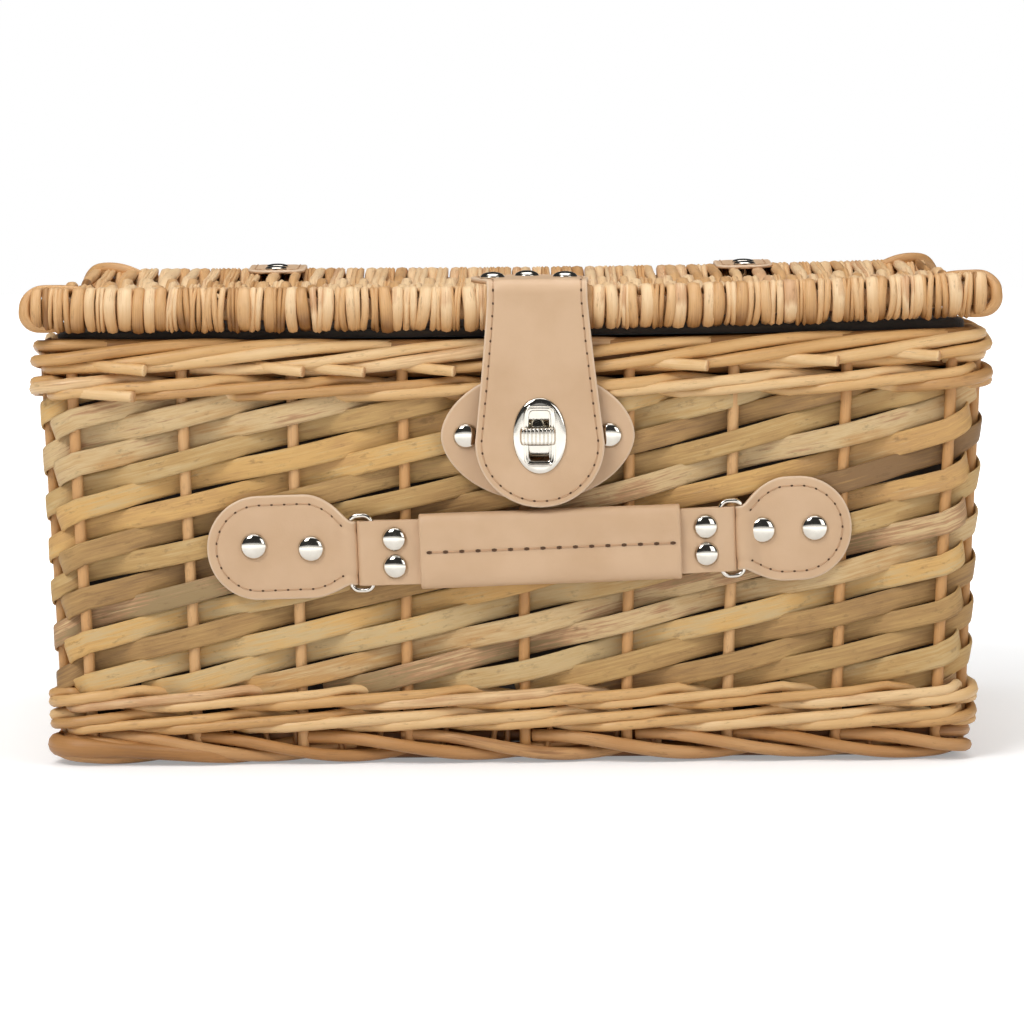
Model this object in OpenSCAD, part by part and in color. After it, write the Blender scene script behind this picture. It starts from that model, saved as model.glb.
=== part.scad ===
// Willow picnic hamper: a tapered basket with split-willow bands woven on round
// stakes, a woven lid on two leather hinges, a leather strap with an oval turn lock,
// and a leather handle that hangs on two wire rings.
// Millimetres. X runs along the front, Y towards the back, Z up. The origin is under the
// middle of the whole outline, on the surface that the basket stands on.

/* [Basket] */
// Width between the side stakes at the floor
base_w = 378; // [340:2:440]
// Depth between the front and back stakes at the floor
base_d = 257; // [230:1:300]
// Lean of the walls from upright, in degrees
taper = 2.28; // [1.5:0.02:3]
// Distance of the end stakes from the corner
corner_gap = 11; // [10:0.5:14]
// Diameter of the upright stakes
stake_dia = 4.8; // [4:0.1:5.4]
// Stakes along the front and along the back
front_stake_count = 9; // [7:2:11]
// Stakes along each side
side_stake_count = 6; // [5:1:8]

/* [Weave] */
// Rows of flat bands between the two rings of waling
band_rows = 13; // [11:1:14]
// Height of one band
band_w = 9; // [7:0.1:9.4]
// Space between a band and the next row
band_space = 0.4; // [0.3:0.1:1]
// Thickness of a split-willow band
band_t = 1.2; // [0.8:0.1:1.5]
// Diameter of the round waling rods
wale_dia = 4.6; // [4:0.1:5]
// Waling rods stacked at the bottom
lower_wales = 4; // [3:1:5]
// Waling rods stacked at the top
upper_wales = 2; // [1:1:3]

/* [Base and rim] */
// Height of the rolled foot border
foot_h = 12; // [10:0.5:15]
// Width of the rolled foot border
foot_w = 13; // [11:0.5:15]
// Diameter of the sticks under the base
base_stick_dia = 6; // [4:0.5:6.5]
// Number of sticks under the base
base_stick_count = 5; // [3:1:7]
// Height of the rolled rim border
rim_h = 11.5; // [10:0.5:14]
// Thickness of the fabric lining
lining_t = 1; // [0.8:0.1:1.5]

/* [Lid] */
// How much wider the lid is than the basket's floor
lid_extra_w = 32; // [26:1:40]
// How much deeper the lid is than the basket's floor
lid_extra_d = 33; // [33:1:39]
// Thickness of the lid at its wrapped edges
lid_h = 19; // [17:0.5:22]
// How far the lid sits forward of the basket's middle
lid_forward = 1; // [1:0.5:3]
// Diameter of the stick inside each wrapped edge
edge_stick_dia = 9; // [7:0.5:10]
// Diameter of the inner sticks
lid_stick_dia = 6; // [5:0.5:7]
// Number of inner sticks
lid_stick_count = 5; // [3:1:7]
// Thickness of the lid's woven strands
lid_skin = 4.2; // [3:0.1:4.6]
// Number of strands across the lid
lid_strand_count = 78; // [70:2:84]
// Diameter of the rods along the left and right ends
end_rod_dia = 12; // [10:0.5:14]
// Thickness of the padded panel under the lid
lid_lining_t = 4.8; // [4:0.2:7]

/* [Leather] */
// Thickness of the stitched leather
leather_t = 2.4; // [2:0.1:2.8]
// Sideways place of the strap and its lock
strap_x = 11; // [0:1:14]
// Width of the strap where it folds over the lid
strap_neck = 39.7; // [34:0.5:44]
// Radius of the strap's round end
strap_end_r = 27; // [24:0.5:28]
// Height of the lock's middle above the floor
lock_z = 140; // [136:1:141]
// Length of the lock pad
pad_len = 80; // [76:1:84]
// Height of the lock pad
pad_h = 40; // [36:1:42]
// Sideways place of each hinge, from the middle
hinge_x = 111; // [90:1:130]
// Width of a hinge
hinge_w = 27; // [22:1:32]
// Length of a hinge's leaf on the wall, and of the part on the lid
hinge_leaf = 42; // [40:1:48]

/* [Handle] */
// Sideways place of the middle of the grip
handle_x = 16; // [14:0.5:18]
// Height of the grip's middle up the wall
handle_v = 93.5; // [90:0.5:95]
// Turn of the handle from level, in degrees
handle_tilt = 1.9; // [0:0.1:3]
// Length of the grip
grip_len = 109.4; // [108:0.2:111]
// Height of the grip
grip_w = 31.5; // [30:0.5:34]
// Thickness of the grip
grip_t = 10; // [9.6:0.2:12]
// Height of the leather tabs at the grip's ends
tab_w = 27.2; // [25:0.2:28]
// Diameter of the ring wire
wire_dia = 2.2; // [1.8:0.1:2.4]
// Distance between a ring's two uprights
ring_span = 9.2; // [8.6:0.1:10]
// Inner height of a ring
ring_inner = 29.5; // [29.2:0.1:31]
// Length of the left patch, from its round end to its loop
patch_left_len = 62.8; // [58:0.2:66]
// Length of the right patch
patch_right_len = 48.4; // [46:0.2:54]
// Height of a patch
patch_w = 44; // [40:0.5:46]
// Rise of the patches above the handle's line
patch_rise = 3; // [2:0.1:3.1]
// Reach from the grip's left end to the left patch's loop
left_reach = 29.2; // [28:0.2:31]
// Reach from the grip's right end to the right patch's loop
right_reach = 26.2; // [26:0.2:31]

/* [Lock and rivets] */
// Width of the oval lock plate
plate_w = 22.4; // [20:0.2:24]
// Height of the oval lock plate
plate_h = 32; // [30:0.5:34]
// Thickness of the lock plate
plate_t = 2.2; // [1.6:0.1:2.6]
// Width of the lock's slot
slot_w = 9.2; // [8.8:0.1:10]
// Height of the lock's slot
slot_h = 21; // [19:0.5:22]
// Length of the turn bar, across the slot
bar_len = 15; // [14:0.5:18]
// Height of the turn bar
bar_w = 7.6; // [5:0.2:8.2]
// Thickness of the turn bar
bar_t = 3; // [2:0.2:4]
// Diameter of the turn bar's spindle
spindle_dia = 3; // [2.4:0.1:3.6]
// Diameter of a large rivet's cap
rivet_dia = 10.4; // [9:0.2:11]
// Diameter of a tab rivet's cap
tab_rivet_dia = 9.4; // [8:0.2:10]
// Height of a rivet's dome
rivet_dome = 2.6; // [2:0.1:3]
// Diameter of a rivet's shank
shank_dia = 2.8; // [2:0.1:3.2]

/* [Hidden] */
$fn = 48;
seat = 0.25;            // clearance between wickerwork that touches
run = 0.1;              // radial clearance of a pin in its bore
burr_dia = 8;           // the clenched end of a rivet
burr_t = 0.9;
wall_drill = 30;         // depth of a rivet's hole through a wall or through the lid
leather_drill = 10;      // depth of a rivet's hole through leather
lean = tan(taper);

// The stack up the wall, measured along it
foot_top = foot_h + seat;
wale_pitch = wale_dia - 0.1;
lower_v = foot_top + wale_dia / 2 + 1;
lower_top = lower_v + (lower_wales - 1) * wale_pitch + wale_dia / 2;
band_pitch = band_w + band_space;
band_v = lower_top + 2;
band_top = band_v + band_rows * band_pitch;
upper_v = band_top + wale_dia / 2 + seat;
upper_top = upper_v + (upper_wales - 1) * wale_pitch + wale_dia / 2;
stake_top = upper_top + 1.5;
rim_v = stake_top + seat;
rim_top = rim_v + rim_h;
rim_z = rim_top * cos(taper);   // top of the rim above the floor

// Distances outwards from the stakes' middle plane
band_off = stake_dia / 2 + seat;
band_face = band_off + band_t;
wale_off = stake_dia / 2 + seat + wale_dia / 2;
wale_face = wale_off + wale_dia / 2;
lining_off = wale_face + burr_t + 2 * seat;

// Base
base_weave_t = foot_h - base_stick_dia - 1 - seat;
base_margin = foot_w / 2 + seat;

// Lid
lid_w = base_w + lid_extra_w;
lid_d = base_d + lid_extra_d;
lid_bottom = rim_z + seat + lid_lining_t + seat;
lid_mid = lid_bottom + lid_h / 2;
lid_top = lid_bottom + lid_h;
lid_front = -lid_d / 2 - lid_forward;
lid_back = lid_d / 2 - lid_forward;
wrap_d = edge_stick_dia + 2 * lid_skin;      // depth of a wrapped edge
end_rod_x = lid_w / 2 - end_rod_dia / 2;
lid_weave_w = 2 * (end_rod_x - end_rod_dia / 2 - seat);

// Strap, which hangs in front of the lid's front edge
fold_r = leather_t;
fold_y = lid_front + 0.4;
fold_z = lid_top + 0.3;
tongue_back = lid_front - 0.4;
tongue_front = tongue_back - leather_t;
anchor_z = lid_top + seat;
anchor_end_y = lid_front + 6 + strap_end_r;   // middle of the anchor's round end

// Lock
end_drop = 3;                    // the strap's round end below the lock's middle
pad_t = 1.8;
pad_v = lock_z / cos(taper);
pad_bottom_off = band_face + seat;
pad_top_off = wale_face + seat;
pad_lean = atan((pad_top_off - pad_bottom_off) / pad_h);
pad_mid_off = (pad_bottom_off + pad_top_off) / 2;
pad_rivet_gap = pad_len - 20;
base_plate_t = 0.8;
bush_dia = slot_w - 1.2;
bush_front = tongue_front - plate_t - 0.2;
bar_back = bush_front - 0.3;
washer_t = 0.7;
base_d_z = base_d / 2 + lean * lock_z;       // the stakes' plane at the lock
spindle_back = -(base_d_z + pad_mid_off + pad_t + base_plate_t) + 0.4;

// Hinges, which fold about a line just behind the rim
hinge_off = wale_face + seat;
hinge_roll_r = 1.3;
hinge_y = base_d / 2 + lean * rim_z + hinge_off + leather_t - 0.2 + hinge_roll_r;
hinge_z = lid_bottom - hinge_roll_r - 0.5;
hinge_rivets_v = [rim_top - 0.4 * hinge_leaf, rim_top - 0.8 * hinge_leaf];
hinge_lid_spots = [21.5, 34];    // from the lid's back edge
front_most = bar_back - bar_t;
back_most = base_d / 2 + hinge_rivets_v[0] * sin(taper)
    + (hinge_off + leather_t + rivet_dome) * cos(taper);

// Handle: the rings turn in the patches' loops and slide in the tabs' pockets
patch_off = band_face + seat;
loop_r = wire_dia / 2 + 0.3 + 1.2;
ring_off = patch_off + loop_r;
grip_off = patch_off + 0.5 + grip_t / 2;
tab_half_t = loop_r;
pocket_half = wire_dia / 2 + 0.3;
slack_in = 2.4;
slack_out = 3.6;
fold_wall = 1.2;
tab_rivet_x = 10.4;
tab_rivet_gap = 12;
sleeve_t = 1.4;
grip_edge_r = grip_t * 0.36;
neck_half = 11.5;
patch_rivet_ins = [16.5, 8.2];    // from each loop's line to the nearer rivet
patch_rivet_gaps = [24, 22];

// Half the distance between opposite stake planes, at height v up the wall
function half_w(v) = base_w / 2 + v * lean;
function half_d(v) = base_d / 2 + v * lean;

// A place along the front or back wall at height v, moved off any stake that a rivet would meet
function off_stakes(x, v) =
    let(step = 2 * (half_w(v) - corner_gap) / (front_stake_count - 1))
    let(stake = round(x / step) * step)
    stake + (x < stake ? -1 : 1) * max(abs(x - stake), (stake_dia + shank_dia) / 2 + 2 * seat);

// Reach from the grip's end to a ring's line: side -1 is the left one
function reach_at(side) = side < 0 ? left_reach : right_reach;
function ring_x_at(side) = grip_len / 2 + reach_at(side);
function tab_angle_at(side) = atan((grip_off - ring_off) / reach_at(side));
function wire_x_at(side) = norm([grip_off - ring_off, reach_at(side)]) - ring_span;

// ---- places ----

// The origin is the middle of the whole outline, which the lock carries forwards
module place() {
    translate([0, -(front_most + back_most) / 2, 0]) children();
}

// A wall's own frame: x along it, y up it, z outwards from the stakes' plane
module front_wall() {
    translate([0, -base_d / 2, 0]) rotate([90 + taper, 0, 0]) children();
}
module back_wall() {
    rotate([0, 0, 180]) front_wall() children();
}
module left_wall() {
    rotate([0, 0, -90]) translate([0, -base_w / 2, 0]) rotate([90 + taper, 0, 0]) children();
}
module right_wall() {
    rotate([0, 0, 180]) left_wall() children();
}
module all_walls() {
    front_wall() children(0);
    back_wall() children(0);
    left_wall() children(1);
    right_wall() children(1);
}

// The handle's frame on the front wall: x along the grip, y across it, z outwards
module handle_frame() {
    front_wall() translate([handle_x, handle_v, 0]) rotate([0, 0, handle_tilt]) children();
}

// ---- shapes ----

// A round rod from p to q
module rod(p, q, dia) {
    v = q - p;
    translate(p) rotate([0, acos(v.z / norm(v)), atan2(v.y, v.x)])
        cylinder(h = norm(v), d = dia);
}

// A rectangle with rounded corners, about the origin
module round_rect(w, h, r) {
    square([w - 2 * r, h], center = true);
    square([w, h - 2 * r], center = true);
    for (x = [-1, 1], y = [-1, 1])
        translate([x * (w / 2 - r), y * (h / 2 - r)]) circle(r);
}

// A rivet through `grip` of material: its dome stands on z = 0 and its burr is below
module rivet(cap, grip) {
    ball = (cap * cap / 4 + rivet_dome * rivet_dome) / (2 * rivet_dome);
    intersection() {
        translate([0, 0, rivet_dome - ball]) sphere(ball);
        cylinder(h = rivet_dome + 1, d = cap);
    }
    translate([0, 0, -grip - burr_t / 2]) cylinder(h = grip + burr_t, d = shank_dia);
    translate([0, 0, -grip - burr_t]) cylinder(h = burr_t, d = burr_dia);
}

// The hole that a rivet's shank passes through
module rivet_hole(depth) {
    translate([0, 0, -depth]) cylinder(h = depth + rivet_dome, d = shank_dia + 2 * run);
}

// The stakes numbered `first` to `last` of `count` along a wall
module stakes(count, first, last, long) {
    color("burlywood")
        for (i = [first:last]) {
            share = 2 * i / (count - 1) - 1;
            low = (long ? half_w(foot_top) : half_d(foot_top)) - corner_gap;
            high = (long ? half_w(stake_top) : half_d(stake_top)) - corner_gap;
            rod([share * low, foot_top + seat, 0], [share * high, stake_top, 0], stake_dia);
        }
}

// One wall's bands: even rows pass outside the stakes and odd rows inside, or the other way
module bands(long, outer_row) {
    color("tan")
        for (row = [0:band_rows - 1]) {
            v = band_v + row * band_pitch;
            half = long ? half_w(v) : half_d(v);
            outside = row % 2 == outer_row;
            reach = half + (outside ? band_face : -band_face - seat);
            z = outside ? band_off : -band_face;
            translate([-reach, v, z]) cube([2 * reach, band_w, band_t]);
        }
}

// Waling rods stacked up a wall, outside and inside the stakes
module waling(long, v, count) {
    color("burlywood")
        for (side = [-1, 1]) {
            half = long ? half_w(v) + wale_face : half_d(v) - wale_face - seat;
            reach = side > 0 ? half : half - (long ? 2 * wale_face + 0.5 : 0);
            translate([-reach, v, side * wale_off]) rotate([90, 0, 90])
                linear_extrude(2 * reach) {
                    for (i = [0:count - 1]) translate([i * wale_pitch, 0]) circle(d = wale_dia);
                    translate([0, -wale_dia / 4])
                        square([max(0.1, (count - 1) * wale_pitch), wale_dia / 2]);
                }
        }
}

// The rolled border over the stakes' ends
module rim(long) {
    half = long ? half_w(rim_v) + wale_face : half_d(rim_v) - wale_face - seat;
    rod_r = wale_dia / 2;
    wide = 2 * wale_face - wale_dia;
    color("burlywood") translate([-half, rim_v, 0]) rotate([90, 0, 90])
        linear_extrude(2 * half) {
            translate([0, -wide / 2]) square([rim_h - rod_r, wide]);
            for (v = [rod_r, rim_h / 2, rim_h - rod_r], z = [-wide / 2, wide / 2])
                translate([v, z]) circle(rod_r);
            for (z = [-wide / 4, 0, wide / 4])
                translate([rim_h - rod_r, z]) circle(rod_r);
        }
}

// ---- basket ----

module foot_border() {
    color("peru") {
        for (side = [-1, 1]) {
            translate([-base_w / 2 - foot_w / 2, side * base_d / 2, 0])
                foot_bar(base_w + foot_w);
            rotate([0, 0, 90])
                translate([-base_d / 2 + foot_w / 2 + seat, side * base_w / 2, 0])
                    foot_bar(base_d - foot_w - 2 * seat);
        }
    }
}

// A length of foot border: flat underneath, with rounded upper edges
module foot_bar(length) {
    r = foot_h / 3;
    rotate([90, 0, 90]) linear_extrude(length) {
        translate([-foot_w / 2, 0]) square([foot_w, foot_h - r]);
        translate([-foot_w / 2 + r, 0]) square([foot_w - 2 * r, foot_h]);
        for (x = [-1, 1]) translate([x * (foot_w / 2 - r), foot_h - r]) circle(r);
    }
}

module base_sticks() {
    reach = base_w / 2 - base_margin;
    step = (base_d - foot_w) / (base_stick_count + 1);
    color("peru")
        for (i = [1:base_stick_count]) {
            y = -(base_d - foot_w) / 2 + i * step;
            rod([-reach, y, 1 + base_stick_dia / 2], [reach, y, 1 + base_stick_dia / 2],
                base_stick_dia);
        }
}

module base_weave() {
    color("burlywood")
        translate([0, 0, foot_h - base_weave_t]) linear_extrude(base_weave_t)
            square([base_w - 2 * base_margin, base_d - 2 * base_margin], center = true);
}

module corner_stakes() {
    for (i = [0, front_stake_count - 1]) {
        front_wall() stakes(front_stake_count, i, i, true);
        back_wall() stakes(front_stake_count, i, i, true);
    }
    for (i = [0, side_stake_count - 1]) {
        left_wall() stakes(side_stake_count, i, i, false);
        right_wall() stakes(side_stake_count, i, i, false);
    }
}

module front_stakes() { front_wall() stakes(front_stake_count, 1, front_stake_count - 2, true); }
module back_stakes() { back_wall() stakes(front_stake_count, 1, front_stake_count - 2, true); }
module left_stakes() { left_wall() stakes(side_stake_count, 1, side_stake_count - 2, false); }
module right_stakes() { right_wall() stakes(side_stake_count, 1, side_stake_count - 2, false); }

module front_bands() {
    difference() {
        front_wall() bands(true, 0);
        patch_rivet_places() rivet_hole(wall_drill);
        pad_rivet_places() rivet_hole(wall_drill);
    }
}
module back_bands() {
    difference() {
        back_wall() bands(true, 0);
        hinge_leaf_rivet_places() rivet_hole(wall_drill);
    }
}
module left_bands() { left_wall() bands(false, 1); }
module right_bands() { right_wall() bands(false, 1); }

module lower_waling() {
    all_walls() {
        waling(true, lower_v, lower_wales);
        waling(false, lower_v, lower_wales);
    }
}

module upper_waling() {
    difference() {
        all_walls() {
            waling(true, upper_v, upper_wales);
            waling(false, upper_v, upper_wales);
        }
        hinge_leaf_rivet_places() rivet_hole(wall_drill);
    }
}

module rim_border() {
    difference() {
        all_walls() {
            rim(true);
            rim(false);
        }
        hinge_leaf_rivet_places() rivet_hole(wall_drill);
    }
}

// The corners of a four-sided funnel that follows the walls, `inset` inside the stakes
function funnel(z, inset) = [for (c = [[-1, -1], [1, -1], [1, 1], [-1, 1]])
    [c.x * (half_w(z) - inset), c.y * (half_d(z) - inset), z]];

module tapered_block(z0, z1, inset) {
    polyhedron(concat(funnel(z0, inset), funnel(z1, inset)),
        [[0, 1, 2, 3], [7, 6, 5, 4], [0, 4, 5, 1], [1, 5, 6, 2], [2, 6, 7, 3], [3, 7, 4, 0]]);
}

module basket_lining() {
    top = rim_v * cos(taper) - seat;
    floor_z = foot_h + seat;
    color("#3b3129") difference() {
        tapered_block(floor_z, top, lining_off);
        tapered_block(floor_z + lining_t, top + 1, lining_off + lining_t);
    }
}

// ---- handle patches ----

// Where the patches' rivets stand along the handle: side -1 is the left one, and turn 0 is the
// rivet nearer the ring
function patch_rivet_x(side, turn) =
    let(at = side < 0 ? 0 : 1)
    let(x = side * (ring_x_at(side) + patch_rivet_ins[at] + turn * patch_rivet_gaps[at]))
    let(wall_x = handle_x + x * cos(handle_tilt) - patch_rise * sin(handle_tilt))
    x + (off_stakes(wall_x, handle_v) - wall_x) / cos(handle_tilt);

module patch_rivets_at(side) {
    handle_frame() for (turn = [0, 1])
        translate([patch_rivet_x(side, turn), patch_rise, patch_off + leather_t]) children();
}
module patch_rivet_places() {
    patch_rivets_at(-1) children();
    patch_rivets_at(1) children();
}

// A stitched patch: round outer end, narrower neck, and a loop round the ring's wire
module patch(side, length) {
    outer = length - loop_r;                   // from the loop's line to the round end
    neck = 6;
    color("#d9b591") difference() {
        handle_frame() translate([side * ring_x_at(side), 0, patch_off]) mirror([side < 0 ? 1 : 0, 0, 0]) {
            translate([0, patch_rise, 0]) linear_extrude(leather_t) {
                translate([outer - patch_w / 2, 0]) circle(patch_w / 2);
                polygon([[0, -neck_half], [neck, -neck_half], [outer - patch_w * 0.8, -patch_w / 2],
                    [outer - patch_w / 2, -patch_w / 2], [outer - patch_w / 2, patch_w / 2],
                    [outer - patch_w * 0.8, patch_w / 2], [neck, neck_half], [0, neck_half]]);
            }
            translate([0, patch_rise + neck_half, loop_r]) rotate([90, 0, 0])
                cylinder(h = 2 * neck_half, r = loop_r);
        }
        handle_frame() translate([side * ring_x_at(side), patch_w, ring_off]) rotate([90, 0, 0])
            cylinder(h = 2 * patch_w, r = wire_dia / 2 + run);
        patch_rivets_at(side) rivet_hole(leather_drill);
    }
}

module patch_left() { patch(-1, patch_left_len); }
module patch_right() { patch(1, patch_right_len); }

// The rivets reach from the patch through both layers of bands
patch_grip = leather_t + patch_off + band_face + 0.2;
module patch_rivets_left() { color("silver") patch_rivets_at(-1) rivet(rivet_dia, patch_grip); }
module patch_rivets_right() { color("silver") patch_rivets_at(1) rivet(rivet_dia, patch_grip); }

// ---- rings, tabs and grip ----

// A ring's wire, turned about its inner line to lie along the tab
module wire_ring(side) {
    up = ring_inner / 2 + wire_dia / 2;
    color("silver") handle_frame() translate([side * ring_x_at(side), 0, ring_off])
        rotate([0, side * tab_angle_at(side), 0]) {
            for (x = [0, -side * ring_span])
                rod([x, -up, 0], [x, up, 0], wire_dia);
            for (y = [-up, up]) {
                rod([0, y, 0], [-side * ring_span, y, 0], wire_dia);
                for (x = [0, -side * ring_span]) translate([x, y, 0]) sphere(d = wire_dia);
            }
        }
}
module ring_left() { wire_ring(-1); }
module ring_right() { wire_ring(1); }

// The tab's frame: x from the grip's end towards the ring, y across, z outwards
module tab_frame(side) {
    handle_frame() translate([side * grip_len / 2, 0, grip_off])
        rotate([0, side * tab_angle_at(side), 0]) mirror([side < 0 ? 1 : 0, 0, 0]) children();
}

// A stretched circle, from x0 to x1 along the tab
module slot_shape(x0, x1, r) {
    translate([x0, 0]) circle(r);
    translate([x1, 0]) circle(r);
    translate([x0, -r]) square([x1 - x0, 2 * r]);
}

module tab_rivets_at(side) {
    tab_frame(side)
        for (y = [-1, 1]) translate([tab_rivet_x, y * tab_rivet_gap / 2, tab_half_t]) children();
}

// A folded leather tab: the ring's wire slides in the pocket behind its fold
module tab(side) {
    pocket_in = wire_x_at(side) - slack_in;
    pocket_out = wire_x_at(side) + slack_out;
    fold_x = pocket_out + pocket_half + fold_wall - tab_half_t;
    color("#d9b591") difference() {
        tab_frame(side) translate([0, tab_w / 2, 0]) rotate([90, 0, 0])
            linear_extrude(tab_w) difference() {
                slot_shape(0, fold_x, tab_half_t);
                slot_shape(pocket_in, pocket_out, pocket_half);
            }
        tab_rivets_at(side) rivet_hole(leather_drill);
    }
}
module tab_left() { tab(-1); }
module tab_right() { tab(1); }
module tab_rivets_left() { color("silver") tab_rivets_at(-1) rivet(tab_rivet_dia, 2 * tab_half_t); }
module tab_rivets_right() { color("silver") tab_rivets_at(1) rivet(tab_rivet_dia, 2 * tab_half_t); }

// The grip's leather sleeve, a flattened tube
module grip_sleeve() {
    color("#d9b591") handle_frame() translate([-grip_len / 2, 0, grip_off])
        rotate([90, 0, 90]) linear_extrude(grip_len) difference() {
            round_rect(grip_w, grip_t, grip_edge_r);
            round_rect(grip_w - 2 * sleeve_t, grip_t - 2 * sleeve_t, grip_edge_r - sleeve_t);
        }
}

// The stiff core that the sleeve is sewn round, with the strap that joins the tabs
module grip_core() {
    reach = grip_len / 2 - tab_half_t - 0.3;
    inner_w = grip_w - 2 * sleeve_t - 2 * seat;
    inner_t = grip_t - 2 * sleeve_t - 2 * seat;
    color("#8a6a4a") handle_frame() translate([-reach, 0, grip_off])
        rotate([90, 0, 90]) linear_extrude(2 * reach)
            round_rect(inner_w, inner_t, inner_t * 0.4);
}

// ---- lock ----

// The lock pad's frame: it leans from the bands at its foot to the waling at its head
module pad_frame() {
    front_wall() translate([strap_x, pad_v, pad_mid_off]) rotate([pad_lean, 0, 0]) children();
}
module pad_rivet_places() {
    pad_frame() for (side = [-1, 1])
        translate([off_stakes(strap_x + side * pad_rivet_gap / 2, pad_v) - strap_x, 0, pad_t]) children();
}

// An oval of a given width and height
function oval(w, h) = [for (a = [0:7.5:352.5]) [w / 2 * cos(a), h / 2 * sin(a)]];

module lock_pad() {
    color("#d2ab88") difference() {
        pad_frame() linear_extrude(pad_t) difference() {
            polygon(oval(pad_len, pad_h));
            circle(d = spindle_dia + 1);
        }
        pad_rivet_places() rivet_hole(leather_drill);
    }
}

pad_grip = pad_t + pad_mid_off + band_face + 0.4;
module pad_rivets() { color("silver") pad_rivet_places() rivet(rivet_dia, pad_grip); }

// The lock's fixed part: an oval plate on the pad and a bush that carries the spindle
module lock_base() {
    color("silver") difference() {
        union() {
            pad_frame() translate([0, 0, pad_t + 0.05]) linear_extrude(base_plate_t)
                polygon(oval(plate_w - 4, plate_h - 6));
            translate([strap_x, bush_front, lock_z]) rotate([-90, 0, 0])
                cylinder(h = spindle_back - bush_front - 0.8, d = bush_dia);
        }
        translate([strap_x, bush_front - 1, lock_z]) rotate([-90, 0, 0])
            cylinder(h = spindle_back - bush_front + 2, d = spindle_dia + 2 * run);
    }
}

// The knob that turns across the slot, with ribs for the fingers
module turn_bar() {
    rib = 1.2;
    color("silver") translate([strap_x, bar_back, lock_z]) rotate([90, 0, 0])
        linear_extrude(bar_t - 0.6) round_rect(bar_len, bar_w, 1.6);
    color("silver") for (i = [-2:2])
        translate([strap_x + i * bar_len / 6 - rib / 2, bar_back - bar_t, lock_z - bar_w * 0.4])
            cube([rib, 0.8, bar_w * 0.8]);
}

module turn_spindle() {
    color("gray") translate([strap_x, bar_back, lock_z]) rotate([-90, 0, 0])
        cylinder(h = spindle_back - bar_back, d = spindle_dia);
}

// The slot in the lock plate, `grow` wider all round
module slot_2d(grow) {
    round_rect(slot_w + 2 * grow, slot_h + 2 * grow, 1.5);
}

// The oval plate on the strap's face, thicker in its middle
module lock_plate() {
    color("silver") translate([strap_x, tongue_front, lock_z]) rotate([90, 0, 0]) {
        linear_extrude(plate_t * 0.55) difference() {
            polygon(oval(plate_w, plate_h));
            slot_2d(0);
        }
        linear_extrude(plate_t) difference() {
            polygon(oval(plate_w - 3, plate_h - 3));
            slot_2d(0);
        }
    }
}

// The backing plate behind the strap that the lock plate is clenched to
module lock_washer() {
    color("gray") translate([strap_x, tongue_back + washer_t, lock_z]) rotate([90, 0, 0])
        linear_extrude(washer_t) difference() {
            polygon(oval(plate_w - 2, plate_h - 2));
            slot_2d(0.2);
        }
}

// ---- strap ----

// The hanging part of the strap, from its fold to its round end
module strap_tongue() {
    color("#d9b591") difference() {
        union() {
            translate([strap_x, tongue_back, 0]) rotate([90, 0, 0]) linear_extrude(leather_t) {
                translate([0, lock_z - end_drop]) circle(strap_end_r);
                polygon([[-strap_end_r, lock_z - end_drop], [strap_end_r, lock_z - end_drop],
                    [strap_neck / 2, fold_z - 12], [strap_neck / 2, fold_z],
                    [-strap_neck / 2, fold_z], [-strap_neck / 2, fold_z - 12]]);
            }
            rod([strap_x - strap_neck / 2, fold_y, fold_z], [strap_x + strap_neck / 2, fold_y, fold_z],
                2 * fold_r);
        }
        translate([strap_x, tongue_back + leather_t, lock_z]) rotate([90, 0, 0])
            linear_extrude(4 * leather_t) slot_2d(0.4);
    }
}

anchor_front = fold_y + fold_r + 0.3;
anchor_rivet_spots = [[-15.5, 17.5], [15.5, 17.5], [0, 33]];
module anchor_rivet_places() {
    for (p = anchor_rivet_spots)
        translate([strap_x + p.x, anchor_front + p.y, anchor_z + leather_t]) children();
}

// The part of the strap that is riveted to the top of the lid
module strap_anchor() {
    color("#d9b591") difference() {
        translate([strap_x, 0, anchor_z]) linear_extrude(leather_t) {
            translate([0, anchor_end_y]) circle(strap_end_r);
            polygon([[-strap_neck / 2, anchor_front], [strap_neck / 2, anchor_front],
                [strap_end_r, anchor_end_y], [-strap_end_r, anchor_end_y]]);
        }
        translate([strap_x - 2 * strap_end_r, anchor_front - 2 * strap_end_r, anchor_z - leather_t])
            cube([4 * strap_end_r, 2 * strap_end_r, 3 * leather_t]);
        anchor_rivet_places() rivet_hole(leather_drill);
    }
}
module anchor_rivets() { color("silver") anchor_rivet_places() rivet(rivet_dia, anchor_grip); }

// ---- lid ----

skin_under_z = lid_mid - lid_stick_dia / 2 - seat - lid_skin;
anchor_grip = anchor_z + leather_t - skin_under_z + 0.1;
skin_front = lid_front + wrap_d + seat;
skin_back = lid_back - wrap_d - seat;

// A wrapped edge of the lid, from x = -half to half, with the bore for its stick
module edge_wrap(y) {
    half = lid_weave_w / 2;
    translate([-half, y, lid_mid]) rotate([90, 0, 90]) linear_extrude(2 * half) difference() {
        round_rect(wrap_d, lid_h, wrap_d * 0.42);
        circle(d = edge_stick_dia + 2 * run);
    }
}

module lid_edge_wraps() {
    color("burlywood") difference() {
        for (y = [lid_front + wrap_d / 2, lid_back - wrap_d / 2]) edge_wrap(y);
        anchor_rivet_places() rivet_hole(wall_drill);
        hinge_lid_rivet_places() rivet_hole(wall_drill);
    }
}

module lid_edge_sticks() {
    reach = lid_weave_w / 2;
    color("peru") for (y = [lid_front + wrap_d / 2, lid_back - wrap_d / 2])
        rod([-reach, y, lid_mid], [reach, y, lid_mid], edge_stick_dia);
}

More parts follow.
